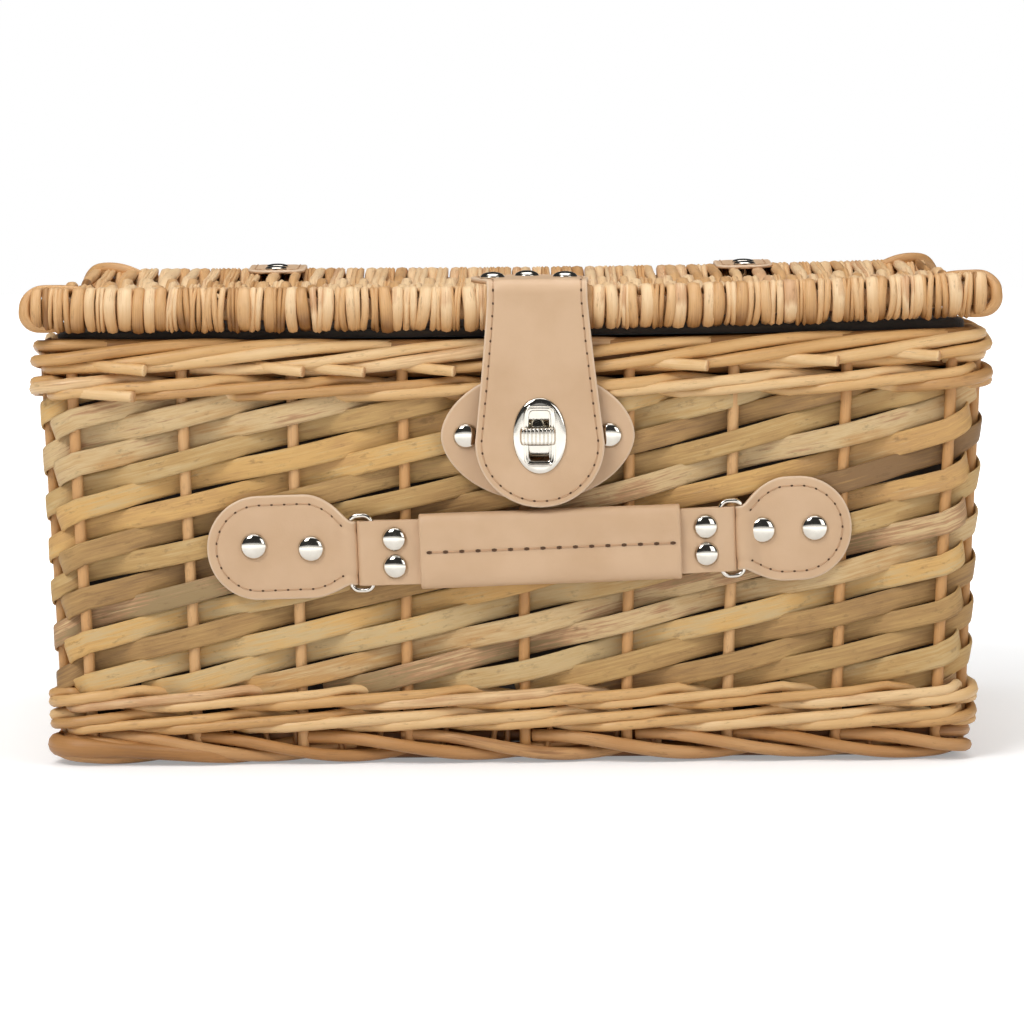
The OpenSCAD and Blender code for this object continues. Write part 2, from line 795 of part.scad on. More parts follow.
// The places of the inner sticks, with the two ends of the weave before and after them
lid_step = (skin_back - skin_front) / (lid_stick_count + 1);
function lid_mark(i) = skin_front + i * lid_step;

module lid_sticks() {
    reach = lid_weave_w / 2;
    color("peru") for (i = [1:lid_stick_count])
        rod([-reach, lid_mark(i), lid_mid], [reach, lid_mark(i), lid_mid], lid_stick_dia);
}

// Whether a strand lies high (1) or low (-1) at a mark. It is high at both ends, where it
// turns round the edge sticks, and passes over one stick and under the next between them.
function strand_side(i, over) =
    i == 0 || i == lid_stick_count + 1 ? 1 : (i % 2 == 1) == over ? 1 : -1;

// A strand seen from its side, with its middle line level over and under each stick
module strand_outline(over) {
    lift = (lid_stick_dia + lid_skin) / 2 + seat;
    level = lid_stick_dia * 0.36;
    line = [for (i = [0:lid_stick_count + 1], e = [-1, 1])
        if (i + e >= 0 && i + e <= lid_stick_count + 1)
            [lid_mark(i) + e * level, strand_side(i, over) * lift]];
    ends = concat([[skin_front, lift]], line, [[skin_back, lift]]);
    polygon(concat([for (p = ends) p + [0, lid_skin / 2]],
        [for (k = [len(ends) - 1:-1:0]) ends[k] - [0, lid_skin / 2]]));
}

// Every other strand of the lid. The first strand passes over the first stick.
module lid_strands(first) {
    pitch = lid_weave_w / lid_strand_count;
    color("burlywood") difference() {
        for (i = [first:2:lid_strand_count - 1])
            translate([i * pitch - (lid_weave_w - seat) / 2, 0, lid_mid]) rotate([90, 0, 90])
                linear_extrude(pitch - seat) strand_outline(first == 0);
        anchor_rivet_places() rivet_hole(wall_drill);
        hinge_lid_rivet_places() rivet_hole(wall_drill);
    }
}

// The strands that start over the first stick, and those that start under it
module lid_weave_top() { lid_strands(0); }
module lid_weave_under() { lid_strands(1); }

module lid_end_rods() {
    color("peru") for (x = [-end_rod_x, end_rod_x])
        rod([x, lid_front + 1, lid_mid], [x, lid_back - 1, lid_mid], end_rod_dia);
}

// The padded panel under the lid, which lands on the rim
module lid_lining() {
    w = 2 * (half_w(rim_top) - stake_dia);
    d = 2 * (half_d(rim_top) - stake_dia);
    color("#3b3129") translate([0, 0, rim_z + seat]) linear_extrude(lid_lining_t)
        round_rect(w, d, 8);
}

// ---- hinges ----

// The wall leaf's frame on the back wall, at the left (-1) or right (1) hinge
module hinge_frame(side) {
    back_wall() translate([-side * hinge_x, 0, hinge_off]) children();
}
module hinge_leaf_rivet_places() {
    for (side = [-1, 1]) hinge_frame(side)
        for (v = hinge_rivets_v) translate([0, v, leather_t]) children();
}

// A hinge's lower leaf and the rolled fold that the lid turns on
module hinge_leaf_at(side) {
    color("#d2ab88") difference() {
        union() {
            hinge_frame(side) translate([-hinge_w / 2, rim_top - hinge_leaf, 0])
                cube([hinge_w, hinge_leaf + (hinge_z - rim_z), leather_t]);
            rod([side * hinge_x - hinge_w / 2, hinge_y, hinge_z],
                [side * hinge_x + hinge_w / 2, hinge_y, hinge_z], 2 * hinge_roll_r);
        }
        hinge_leaf_rivet_places() rivet_hole(leather_drill);
    }
}
module hinge_leaf_left() { hinge_leaf_at(-1); }
module hinge_leaf_right() { hinge_leaf_at(1); }

hinge_leaf_grip = leather_t + hinge_off + wale_face + 0.1;
module hinge_leaf_rivets() {
    color("silver") hinge_leaf_rivet_places() rivet(rivet_dia, hinge_leaf_grip);
}

module hinge_lid_rivet_places() {
    for (side = [-1, 1], y = hinge_lid_spots)
        translate([side * hinge_x, lid_back - y, anchor_z + leather_t]) children();
}

// A hinge's upper leaf: over the top of the lid and down its back edge
module hinge_lid_at(side) {
    color("#d2ab88") difference() {
        translate([side * hinge_x - hinge_w / 2, 0, 0]) union() {
            translate([0, lid_back - hinge_leaf, anchor_z])
                cube([hinge_w, hinge_leaf + seat + leather_t, leather_t]);
            translate([0, lid_back + seat, hinge_z + hinge_roll_r + 0.4])
                cube([hinge_w, leather_t, anchor_z + leather_t - hinge_z - hinge_roll_r - 0.4]);
        }
        hinge_lid_rivet_places() rivet_hole(leather_drill);
    }
}
module hinge_lid_left() { hinge_lid_at(-1); }
module hinge_lid_right() { hinge_lid_at(1); }
module hinge_lid_rivets() { color("silver") hinge_lid_rivet_places() rivet(rivet_dia, anchor_grip); }

// ---- parts ----

place() foot_border();
place() base_sticks();
place() base_weave();
place() corner_stakes();
place() front_stakes();
place() back_stakes();
place() left_stakes();
place() right_stakes();
place() front_bands();
place() back_bands();
place() left_bands();
place() right_bands();
place() lower_waling();
place() upper_waling();
place() rim_border();
place() basket_lining();
place() patch_left();
place() patch_right();
place() patch_rivets_left();
place() patch_rivets_right();
place() lock_pad();
place() pad_rivets();
place() lock_base();
place() hinge_leaf_left();
place() hinge_leaf_right();
place() hinge_leaf_rivets();
place() lid_edge_sticks();
place() lid_sticks();
place() lid_weave_top();
place() lid_weave_under();
place() lid_edge_wraps();
place() lid_end_rods();
place() lid_lining();
place() strap_anchor();
place() anchor_rivets();
place() hinge_lid_left();
place() hinge_lid_right();
place() hinge_lid_rivets();
place() strap_tongue();
place() lock_plate();
place() lock_washer();
place() turn_bar();
place() turn_spindle();
place() grip_sleeve();
place() grip_core();
place() tab_left();
place() tab_right();
place() tab_rivets_left();
place() tab_rivets_right();
place() ring_left();
place() ring_right();
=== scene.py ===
# A willow picnic hamper, dressed for its portrait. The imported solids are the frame, and
# each section below makes one piece of the real hamper, in the order in which it is woven,
# lined, bound with leather and fitted with its lock. Lengths are in millimetres in the
# arrays and become metres when a mesh is made.
import math

import bpy
import bmesh
import numpy as np
from mathutils import Matrix, Vector


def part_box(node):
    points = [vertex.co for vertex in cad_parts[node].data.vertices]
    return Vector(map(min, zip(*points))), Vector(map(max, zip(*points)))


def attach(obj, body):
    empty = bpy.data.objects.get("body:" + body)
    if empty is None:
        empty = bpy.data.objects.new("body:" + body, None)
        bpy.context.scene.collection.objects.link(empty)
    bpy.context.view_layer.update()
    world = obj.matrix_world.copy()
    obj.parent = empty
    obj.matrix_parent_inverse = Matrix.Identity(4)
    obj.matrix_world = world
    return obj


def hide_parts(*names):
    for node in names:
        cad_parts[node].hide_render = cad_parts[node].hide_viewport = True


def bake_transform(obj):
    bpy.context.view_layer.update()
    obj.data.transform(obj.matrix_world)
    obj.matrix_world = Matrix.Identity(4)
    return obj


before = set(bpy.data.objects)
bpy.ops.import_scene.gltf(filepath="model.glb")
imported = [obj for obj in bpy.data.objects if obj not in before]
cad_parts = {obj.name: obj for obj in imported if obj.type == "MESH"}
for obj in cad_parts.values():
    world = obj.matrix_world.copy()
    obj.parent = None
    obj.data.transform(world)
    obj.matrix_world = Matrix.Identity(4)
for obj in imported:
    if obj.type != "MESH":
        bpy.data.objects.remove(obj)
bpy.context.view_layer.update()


# ---- Upright stakes ----
# Thirty peeled willow rods, about 5 mm thick, stand round the base and lean outwards.
# Everything else in the walls is woven round them, and their tops turn into the rim.
lining_lo, lining_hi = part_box("basket_lining")
MIDDLE_Y = 500.0 * (lining_lo[1] + lining_hi[1])   # the basket's middle, behind the origin
LEAN = math.radians(2.28)
BASE_HALF = np.array([189.0, 128.5])               # from the middle to the stakes, at the floor
BEND = 9.0                                         # radius of the walls' corners
STAKE_R = 2.45
STAKE_FROM_CORNER = 11.0
EYE_V = 90.0                                       # the height at which the ring is measured
chance = np.random.default_rng(11)


def half_at(v):
    """Distances from the middle to the stakes at height v: the floor's, plus v times the lean."""
    return BASE_HALF[0] + v * math.tan(LEAN), BASE_HALF[1] + v * math.tan(LEAN)


eye_half = np.array(half_at(EYE_V)) - BEND
CORNER = 0.5 * math.pi * BEND
RUNS = np.array([2 * eye_half[0], CORNER, 2 * eye_half[1], CORNER] * 2)
MARKS = np.concatenate([[0.0], np.cumsum(RUNS)])
ROUND = MARKS[-1]


def ease(t):
    """A smooth step from 0 to 1: three t squared less two t cubed, with t held to that range."""
    t = np.clip(t, 0, 1)
    return t * t * (3 - 2 * t)


def rim_rise(x):
    """The rim's warp: how far it rises at x, with a power of the distance to either end."""
    return 4.2 * np.clip(x / 205.0, 0, 1) ** 1.7 + 1.6 * np.clip(-x / 205.0, 0, 1) ** 2


def wall(s, v, out):
    """A point of the walls, s round the ring from the front's middle towards the right, v up
    and `out` outwards from the stakes. A straight run goes evenly along its wall, a corner
    goes round a quarter circle, and each wall is the front one turned by quarter turns. The
    upper half follows the rim's warp. Gives the points and the walls' outward directions."""
    s, v, out = np.broadcast_arrays(*(np.asarray(a, float) for a in (s, v, out)))
    t = np.mod(s + eye_half[0], ROUND)
    run = np.clip(np.searchsorted(MARKS, t, side="right") - 1, 0, 7)
    part = (t - MARKS[run]) / RUNS[run]
    turn = run // 2
    w, d = half_at(v)
    along = np.where(turn % 2 == 0, w, d) - BEND
    away = np.where(turn % 2 == 0, d, w)
    bend = run % 2 == 1
    angle = np.where(bend, 0.5 * math.pi * (part - 1.0), -0.5 * math.pi)
    cx = np.where(bend, along, (2 * part - 1) * along)
    reach = BEND + out * math.cos(LEAN)
    x = cx + reach * np.cos(angle)
    y = BEND - away + reach * np.sin(angle)
    c = np.array([1, 0, -1, 0])[turn]
    q = np.array([0, 1, 0, -1])[turn]
    nx, ny = np.cos(angle), np.sin(angle)
    warp_share = ease((v - 110.0) / 60.0)
    points = np.stack([c * x - q * y, q * x + c * y + MIDDLE_Y,
                       v * math.cos(LEAN) - out * math.sin(LEAN)
                       + warp_share * rim_rise(c * x - q * y)], -1)
    outward = np.stack([(c * nx - q * ny) * math.cos(LEAN), (q * nx + c * ny) * math.cos(LEAN),
                        np.full(s.shape, -math.sin(LEAN))], -1)
    return points, outward


def unit(a):
    """The same directions at length one: each is divided by its own length."""
    a = np.asarray(a, float)
    return a / (np.linalg.norm(a, axis=-1, keepdims=True) + 1e-12)


def distances(line):
    """How far each point of a line is from its start, along it."""
    return np.concatenate([[0], np.cumsum(np.linalg.norm(np.diff(line, axis=0), axis=1))])


def carry(path, out, thick, wide, sides=8, square=2.0, tone=0.5, roll=0.0):
    """A rod or band along a path. At each point an oval, `thick` from the middle outwards and
    `wide` from the middle across, is drawn square to the path; a higher `square` makes the
    oval boxier. Both ends are cut flat with a worn edge. Gives corners, faces, caps, the lay
    (mm round and along) and the tone of each corner."""
    path = np.asarray(path, float)
    step = unit(np.gradient(path, axis=0))
    ends = [path[0] + 0.25 * step[0]], [path[-1] - 0.25 * step[-1]]
    path = np.concatenate([path[:1], ends[0], path[1:-1], ends[1], path[-1:]])
    n = len(path)

    def spread(a):
        """A number for each point, where the first and the last stand twice for the worn ends."""
        a = np.broadcast_to(a, (n - 2,)).astype(float)
        return np.concatenate([a[:1], a, a[-1:]])

    thick, wide, tone = spread(thick), spread(wide), spread(tone)
    worn = np.ones(n)
    worn[[0, -1]] = 0.84
    out = np.concatenate([out[:1], out, out[-1:]])
    step = np.concatenate([step[:1], step, step[-1:]])
    across = unit(np.cross(out, step))
    face = np.cross(step, across)
    if np.any(roll):
        cos_roll, sin_roll = np.cos(spread(roll))[:, None], np.sin(spread(roll))[:, None]
        face, across = face * cos_roll + across * sin_roll, across * cos_roll - face * sin_roll
    phi = 2 * math.pi * np.arange(sides) / sides
    ca, sa = np.cos(phi), np.sin(phi)
    ca = np.sign(ca) * np.abs(ca) ** (2.0 / square)
    sa = np.sign(sa) * np.abs(sa) ** (2.0 / square)
    corners = (path[:, None] + face[:, None] * (ca[None, :, None] * (thick * worn)[:, None, None])
               + across[:, None] * (sa[None, :, None] * (wide * worn)[:, None, None]))
    i, j = np.meshgrid(np.arange(n - 1), np.arange(sides), indexing="ij")
    k = (j + 1) % sides
    faces = np.stack([i * sides + j, (i + 1) * sides + j, (i + 1) * sides + k, i * sides + k], -1)
    along = distances(path) + 997.0 * tone[0]      # so that no two rods have the same grain
    girth = 2 * math.pi * math.sqrt(0.5 * (thick.mean() ** 2 + wide.mean() ** 2)) / sides
    here, there = along[i], along[i + 1]
    lay = np.stack([np.stack(pair, -1) for pair in ((j * girth, here), (j * girth, there),
                                                    ((j + 1) * girth, there), ((j + 1) * girth, here))], -2)
    caps = np.stack([np.arange(sides), (n - 1) * sides + np.arange(sides)[::-1]])
    return (corners.reshape(-1, 3), faces.reshape(-1, 4), caps, lay.reshape(-1, 4, 2),
            np.repeat(tone, sides))


def stand(name, mesh, material):
    """A finished mesh becomes a piece: it gets its material and its place in the scene."""
    mesh.materials.append(material)
    piece = bpy.data.objects.new(name, mesh)
    bpy.context.scene.collection.objects.link(piece)
    return piece


def weave(name, rods, material):
    """One mesh of many carried rods, in metres, with the lay as its UV map and the tone as a
    point attribute. Their sides are smooth and their cut ends flat."""
    corners = np.concatenate([r[0] for r in rods]) * 0.001
    starts = np.cumsum([0] + [len(r[0]) for r in rods])
    loops, totals, lay, smooths = [], [], [], []
    for base, r in zip(starts, rods):
        loops += [(r[1] + base).ravel(), (r[2] + base).ravel()]
        totals += [np.full(len(r[1]), 4), np.full(len(r[2]), r[2].shape[1])]
        lay += [r[3].reshape(-1, 2), np.zeros((r[2].size, 2)) + 0.5]
        smooths += [np.ones(len(r[1]), bool), np.zeros(len(r[2]), bool)]
    loops = np.concatenate(loops).astype(np.int32)
    totals = np.concatenate(totals).astype(np.int32)
    mesh = bpy.data.meshes.new(name)
    mesh.vertices.add(len(corners))
    mesh.vertices.foreach_set("co", corners.astype(np.float32).ravel())
    mesh.loops.add(len(loops))
    mesh.loops.foreach_set("vertex_index", loops)
    mesh.polygons.add(len(totals))
    mesh.polygons.foreach_set("loop_start", np.concatenate([[0], np.cumsum(totals)[:-1]]).astype(np.int32))
    mesh.polygons.foreach_set("use_smooth", np.concatenate(smooths))
    mesh.update(calc_edges=True)
    uv = mesh.uv_layers.new(name="lay")
    uv.data.foreach_set("uv", (np.concatenate(lay) * 0.001).astype(np.float32).ravel())
    tones = mesh.attributes.new("tone", "FLOAT", "POINT")
    tones.data.foreach_set("value", np.concatenate([r[4] for r in rods]).astype(np.float32))
    return stand(name, mesh, material)


def shade(hexes):
    """Linear colour of a written sRGB colour."""
    c = np.array([int(hexes[i:i + 2], 16) for i in (0, 2, 4)]) / 255.0
    c = np.where(c <= 0.04045, c / 12.92, ((c + 0.055) / 1.055) ** 2.4)
    return (*c.tolist(), 1.0)


def fill(socket, value):
    """Puts a value on a socket, or a link where the value is another node's socket."""
    if isinstance(value, bpy.types.NodeSocket):
        socket.id_data.links.new(value, socket)
    elif value is not None:
        socket.default_value = value


def kit(tree):
    """The maker of a tree's nodes. What is given first fills the node's inputs in their order;
    a named value is one of its properties, or an input of that name."""
    tree.nodes.clear()

    def node(kind, *given, **named):
        made = tree.nodes.new(kind)
        for key, value in named.items():
            if hasattr(made, key):
                setattr(made, key, value)
            else:
                fill(made.inputs[key.replace("_", " ")], value)
        for socket, value in zip(made.inputs, given):
            fill(socket, value)
        return made

    return node


def finish(name, rough=0.5, metal=0.0):
    """An empty finish: gives the material, the maker of its nodes and its surface."""
    mat = bpy.data.materials.new(name)
    mat.use_nodes = True
    node = kit(mat.node_tree)
    skin = node("ShaderNodeBsdfPrincipled", Roughness=rough, Metallic=metal)
    node("ShaderNodeOutputMaterial", skin.outputs[0])
    return mat, node, skin


def ramp(node, share, stops):
    """What a share picks on a ramp: colours, or bare numbers as greys, at their places."""
    made = node("ShaderNodeValToRGB", share)
    bar = made.color_ramp
    while len(bar.elements) < len(stops):
        bar.elements.new(0.5)
    for element, (place, colour) in zip(bar.elements, stops):
        element.position = place
        element.color = shade(colour) if isinstance(colour, str) else (colour, colour, colour, 1.0)
    return made.outputs[0]


def between(node, share, one, other):
    """The colour that lies between one and the other by a share."""
    made = node("ShaderNodeMix", share, data_type="RGBA")
    fill(made.inputs[6], one)
    fill(made.inputs[7], other)
    return made.outputs[2]


def emboss(node, skin, height, strength, depth):
    """Raises the surface by a height, over a depth in metres."""
    relief = node("ShaderNodeBump", Strength=strength, Distance=depth, Height=height)
    fill(skin.inputs["Normal"], relief.outputs[0])


def willow(name, stops, grain=1.0, bump=0.25, rough=0.5, marks=0.3, blotch="8a6238"):
    """Peeled willow: each rod takes its colour from its tone, fine grain runs along the lay,
    slow stains cross it, and small knots and bark specks darken it."""
    mat, node, skin = finish(name, rough)
    tone = node("ShaderNodeAttribute", attribute_name="tone")
    lay = node("ShaderNodeUVMap", uv_map="lay")

    def pattern(round_it, along_it, detail, coarse):
        """Noise on the lay, with one scale round the rod and another along it."""
        place = node("ShaderNodeMapping", Vector=lay.outputs[0], Scale=(round_it, along_it, 1))
        made = node("ShaderNodeTexNoise", Vector=place.outputs[0], Scale=1.0, Detail=detail, Roughness=coarse)
        return made.outputs[0]

    streak = pattern(1500 * grain, 34 * grain, 4.0, 0.65)
    stain = pattern(90, 26, 3.0, 0.6)
    spot = pattern(520, 110, 5.0, 0.7)
    # the tone, moved a little by stain and streak, picks the colour
    swing = node("ShaderNodeMath", stain, 0.45, tone.outputs["Fac"], operation="MULTIPLY_ADD")
    shift = node("ShaderNodeMath", streak, 0.36 * grain, swing.outputs[0], operation="MULTIPLY_ADD")
    pull = node("ShaderNodeMath", shift.outputs[0], 0.225 + 0.18 * grain, operation="SUBTRACT")
    colour = ramp(node, pull.outputs[0], stops)
    specks = ramp(node, spot, [(0.57, 0.0), (0.70, marks)])
    fill(skin.inputs["Base Color"], between(node, specks, colour, shade(blotch)))
    fill(skin.inputs["Roughness"], ramp(node, streak, [(0.3, rough - 0.1), (0.75, rough + 0.16)]))
    emboss(node, skin, streak, bump, 0.0004)
    return mat


rod_stops = [(0.0, "966a3c"), (0.2, "b98a54"), (0.42, "d0a267"), (0.66, "dcb37b"), (0.86, "e6c391"),
             (1.0, "c79a6c")]
willow_rod = willow("willow_rod", rod_stops, bump=0.3, rough=0.44, marks=0.5)
stake_stops = [(0.0, "a07041"), (0.3, "bb8951"), (0.6, "cb9860"), (0.85, "d4a772"), (1.0, "b78557")]
willow_stake = willow("willow_stake", stake_stops, bump=0.3, rough=0.5, marks=0.45)

# how far each of the front's stakes stands to the right of its even place
FRONT_NUDGES = [0.4, 0.1, 0.2, 0.4, 5.0, 3.4, 1.2, 2.4, 0.2]


def stake_marks():
    """Where the stakes stand round the ring: nine along the front and the back and six along
    each side, evenly spaced between two that stand near the corners, plus the nudges."""
    marks = []
    start = -eye_half[0]
    for turn in range(4):
        count = 9 if turn % 2 == 0 else 6
        half = eye_half[turn % 2]
        reach = half + BEND - STAKE_FROM_CORNER
        middle = start + half
        nudge = FRONT_NUDGES if turn == 0 else np.zeros(count)
        marks += [middle + reach * (2 * i / (count - 1) - 1) + nudge[i] for i in range(count)]
        start += 2 * half + CORNER
    return np.array(marks)


STAKES = stake_marks()
STAKE_LOW, STAKE_HIGH = 5.5, 171.0
rods = []
for mark in STAKES:
    v = np.linspace(STAKE_LOW, STAKE_HIGH, 26)
    share = (v - STAKE_LOW) / (STAKE_HIGH - STAKE_LOW)
    sway = 0.35 * np.sin(v / 31.0 + chance.uniform(0, 6)) * np.sin(math.pi * share)
    path, out = wall(mark + sway, v, 0.12 * np.cos(v / 23.0 + chance.uniform(0, 6)))
    rods.append(carry(path, out, STAKE_R, STAKE_R, sides=10, tone=chance.uniform(0.3, 0.85)))
stakes = weave("stakes", rods, willow_stake)
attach(stakes, "basket")
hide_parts("corner_stakes", "front_stakes", "back_stakes", "left_stakes", "right_stakes")


# ---- Split-willow bands ----
# Flat bands, split from thicker willow, rise by one row from stake to stake and pass
# outside one and inside the next. At every stake the outside rows line up, so the stakes
# show through in small windows. The rows climb a little towards the right.
ROW = 9.37
ROW_AT_MIDDLE = 39.9          # height of the lowest outside row, at the front's middle
CLIMB = 6.0 / 200.0           # rise of the rows for each mm to the right
BAND_THICK = 0.62
BAND_WIDE = 4.85
BAND_OUT = 3.25
BANDS_FROM, BANDS_TO = 29.0, 160.5
TUCK_BELOW, TUCK_ABOVE = 34.5, 154.0   # beyond these heights the ends slip in behind the waling

band_stops = [(0.0, "86653f"), (0.14, "a98350"), (0.3, "c19c62"), (0.44, "cbb080"), (0.58, "d5a966"),
              (0.72, "c0945d"), (0.86, "d3b787"), (0.94, "b68a62"), (1.0, "9c8259")]
willow_band = willow("willow_band", band_stops, grain=1.25, bump=0.75, rough=0.6, marks=0.45, blotch="6a4d2d")


def band(first):
    """One band, which starts at the stake `first`. Between two stakes its place round the
    ring and its row go evenly, and its depth goes from outside to inside along a cosine.
    The part of it that lies between the two walings is kept."""
    fine = 14
    step = np.arange(-2 * fine, 17 * fine + 1) / fine
    base = np.floor(step).astype(int)
    part = step - base
    here, there = first + base, first + base + 1
    s = ((STAKES[here % len(STAKES)] + ROUND * (here // len(STAKES))) * (1 - part)
         + (STAKES[there % len(STAKES)] + ROUND * (there // len(STAKES))) * part)
    level, _ = wall(s, EYE_V, 0.0)
    v = ROW_AT_MIDDLE + ROW * step + CLIMB * level[:, 0]
    v = v + 0.5 * np.sin(s / 37.0 + 2.4 * first) + 0.3 * np.sin(s / 17.0 + first)
    keep = (v > BANDS_FROM) & (v < BANDS_TO)
    s, v, step = s[keep], v[keep], step[keep]
    out = BAND_OUT * np.cos(math.pi * step)
    tuck = np.clip((v - TUCK_ABOVE) / 4.0, 0, 1) + np.clip((TUCK_BELOW - v) / 4.0, 0, 1)
    out = out * (1 - tuck) - (STAKE_R + 0.9) * tuck
    path, outward = wall(s, v, out)
    rng = np.random.default_rng(400 + first)
    wide = BAND_WIDE * rng.uniform(0.94, 1.05) * (1 + 0.035 * np.sin(s / 29.0 + first))
    tone = rng.uniform(0.04, 0.96) + 0.10 * np.sin(s / 80.0 + 3.0 * first)
    roll = np.full(len(s), rng.uniform(-0.085, -0.03))
    return carry(path, outward, BAND_THICK, wide, sides=12, square=4.0, tone=tone, roll=roll)


bands = weave("bands", [band(i) for i in range(len(STAKES))], willow_band)
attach(bands, "basket")
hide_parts("front_bands", "back_bands", "left_bands", "right_bands")


# ---- Waling ----
# Rings of three round rods hold the bands at top and bottom. Each rod passes outside two
# stakes and inside the third, and climbs as it goes, so it shows as long slanting strokes.
def waling(level, seed, rod_r, rise, step_out=5.1):
    """Three rods round the ring. The stakes are counted along the ring; in each turn of three
    stakes a rod rises evenly for two while it is outside and falls for one while inside."""
    made = []
    rng = np.random.default_rng(seed)
    marks = np.concatenate([STAKES, STAKES + ROUND])
    count = np.linspace(18.5, 18.5 + len(STAKES), 30 * 14 + 1)
    s = np.interp(count, np.arange(len(marks)), marks)
    for strand in range(3):
        phase = np.mod(count + strand - 0.5, 3.0) / 3.0
        outside = phase < 2.0 / 3.0
        lift = np.where(outside, -1 + 2 * phase * 1.5, 1 - 2 * (phase - 2.0 / 3.0) * 3.0)
        edge = np.minimum(np.minimum(phase, np.abs(2.0 / 3.0 - phase)), 1 - phase)
        out = np.where(outside, 1.0, -1.0) * step_out * ease(edge / 0.13)
        stroke = np.floor((count + strand - 0.5) / 3.0).astype(int)
        tones = rng.uniform(0.25, 1.0, stroke.max() - stroke.min() + 2)[stroke - stroke.min()]
        girth = rod_r * (1 + 0.10 * np.sin(s / 61.0 + strand * 2.0 + seed))
        v = level + rise * lift + 0.35 * np.sin(s / 43.0 + strand + seed)
        path, outward = wall(s, v, out)
        made.append(carry(path, outward, girth, girth, sides=9, tone=tones))
    return made


lower_rods = waling(level=18.7, seed=3, rod_r=2.35, rise=3.5)
lower_rods += waling(level=28.0, seed=4, rod_r=2.3, rise=3.6)
lower = weave("lower_waling_rods", lower_rods, willow_rod)
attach(lower, "basket")
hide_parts("lower_waling")
upper_rods = waling(level=159.6, seed=5, rod_r=2.45, rise=3.4)
upper = weave("upper_waling_rods", upper_rods, willow_rod)
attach(upper, "basket")
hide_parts("upper_waling")


# ---- Rim border ----
# Each stake's top is laid down to the right: it comes out low, climbs across the outside
# in one long stroke, goes over the top and down inside. Some cut ends stick out.
def laid_border(level, tall, deep, rod_r, length, start_angle, end_angle, hand, seed):
    """One rod for each stake, wound round a flat oval core. The angle round the core goes
    evenly from start to end over `length` of the ring; `hand` is 1 where strokes rise to the
    right and -1 where they fall."""
    made = []
    rng = np.random.default_rng(seed)
    for i, mark in enumerate(STAKES):
        share = np.linspace(0, 1, 54)
        angle = np.radians(start_angle + (end_angle - start_angle) * share)
        s = mark + rng.uniform(-4, 4) + length * rng.uniform(0.96, 1.04) * share
        girth = rod_r * rng.uniform(0.9, 1.08) * (1 + 0.05 * np.sin(share * 9 + i))
        rng.uniform()                      # a draw that nothing uses, so that the next ones stay
        v = level + hand * tall * np.sin(angle) + 0.4 * np.sin(s / 33.0 + i)
        path, outward = wall(s, v, deep * np.cos(angle))
        tone = rng.uniform(0.3, 1.0) + 0.05 * np.sin(share * 20 + i)
        made.append(carry(path, outward, girth, girth, sides=9, tone=tone))
    return made


def inner_rod(v, out, thick, wide, tone):
    """A rod at one height right round the basket. It starts and ends at the back."""
    path, outward = wall(np.linspace(0.52 * ROUND, 1.52 * ROUND, 300), v, out)
    return carry(path, outward, thick, wide, sides=8, tone=tone)


rim_rods = laid_border(level=172.6, tall=5.0, deep=4.7, rod_r=2.6, length=206.0, start_angle=-105,
                       end_angle=236, hand=1.0, seed=21)
# the butts of rods that were laid in from behind and cut off short: where each ends along the
# front, its height, how long it shows and its radius
for x, v, reach, thick in ((-150.0, 167.6, 30.0, 2.5), (-85.0, 167.2, 24.0, 2.3), (-60.0, 167.0, 30.0, 2.2),
                           (-23.0, 167.2, 26.0, 2.3), (81.0, 168.0, 32.0, 2.4), (134.5, 168.4, 34.0, 2.4),
                           (176.0, 169.0, 26.0, 2.3), (-155.0, 156.6, 40.0, 2.4)):
    share = np.linspace(0, 1, 22)
    out = -3.0 + 10.2 * np.clip(share / 0.62, 0, 1) ** 0.8 + 1.4 * np.clip((share - 0.8) / 0.2, 0, 1)
    path, outward = wall(x - reach * (1 - share), v + 2.4 * (1 - share), out)
    tone = chance.uniform(0.5, 0.8) + 0.3 * (share > 0.97)
    rim_rods.append(carry(path, outward, thick, thick, sides=11, tone=tone))
# the inner rods of the border, which the others are laid over, in the darkest tone: painted shade for the
# gaps between the laid rods
rim_rods += [inner_rod(v, out, 2.9, 3.2, 0.02) for v, out in ((176.6, -1.6), (171.6, -3.6), (166.8, -4.4))]
rim = weave("rim_rods", rim_rods, willow_rod)
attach(rim, "basket")
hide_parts("rim_border")


# ---- Foot border ----
# Thicker rods run round the bottom edge. Each starts under the waling, falls to the right
# across the outside, turns under and ends inside, and the hamper stands on them.
stick_stops = [(0.0, "7d5229"), (0.3, "a2713c"), (0.6, "b98650"), (0.85, "c79864"), (1.0, "9c6e43")]
willow_stick = willow("willow_stick", stick_stops, bump=0.35, rough=0.46, marks=0.55)
foot_rods = laid_border(level=7.75, tall=4.0, deep=4.1, rod_r=2.8, length=114.0, start_angle=-112,
                        end_angle=196, hand=-1.0, seed=31)
# the foot's inner rods take the darkest tone: painted shade for the gaps between the laid rods
foot_rods += [inner_rod(v, out, 3.3, 3.3, 0.0) for v, out in ((4.6, -4.6), (10.6, -8.0))]
# short pegs, the ends of the base's rods, stand in the gaps under the waling
PEG_PITCH = 15.5
for s in np.arange(0.0, ROUND, PEG_PITCH):
    v = np.linspace(5.0, 16.5, 6)
    path, outward = wall(s + chance.uniform(-4, 4) + chance.uniform(-0.3, 0.3) * (v - 10), v, -1.2)
    foot_rods.append(carry(path, outward, 1.25, 1.25, sides=7, tone=chance.uniform(0.0, 0.5)))
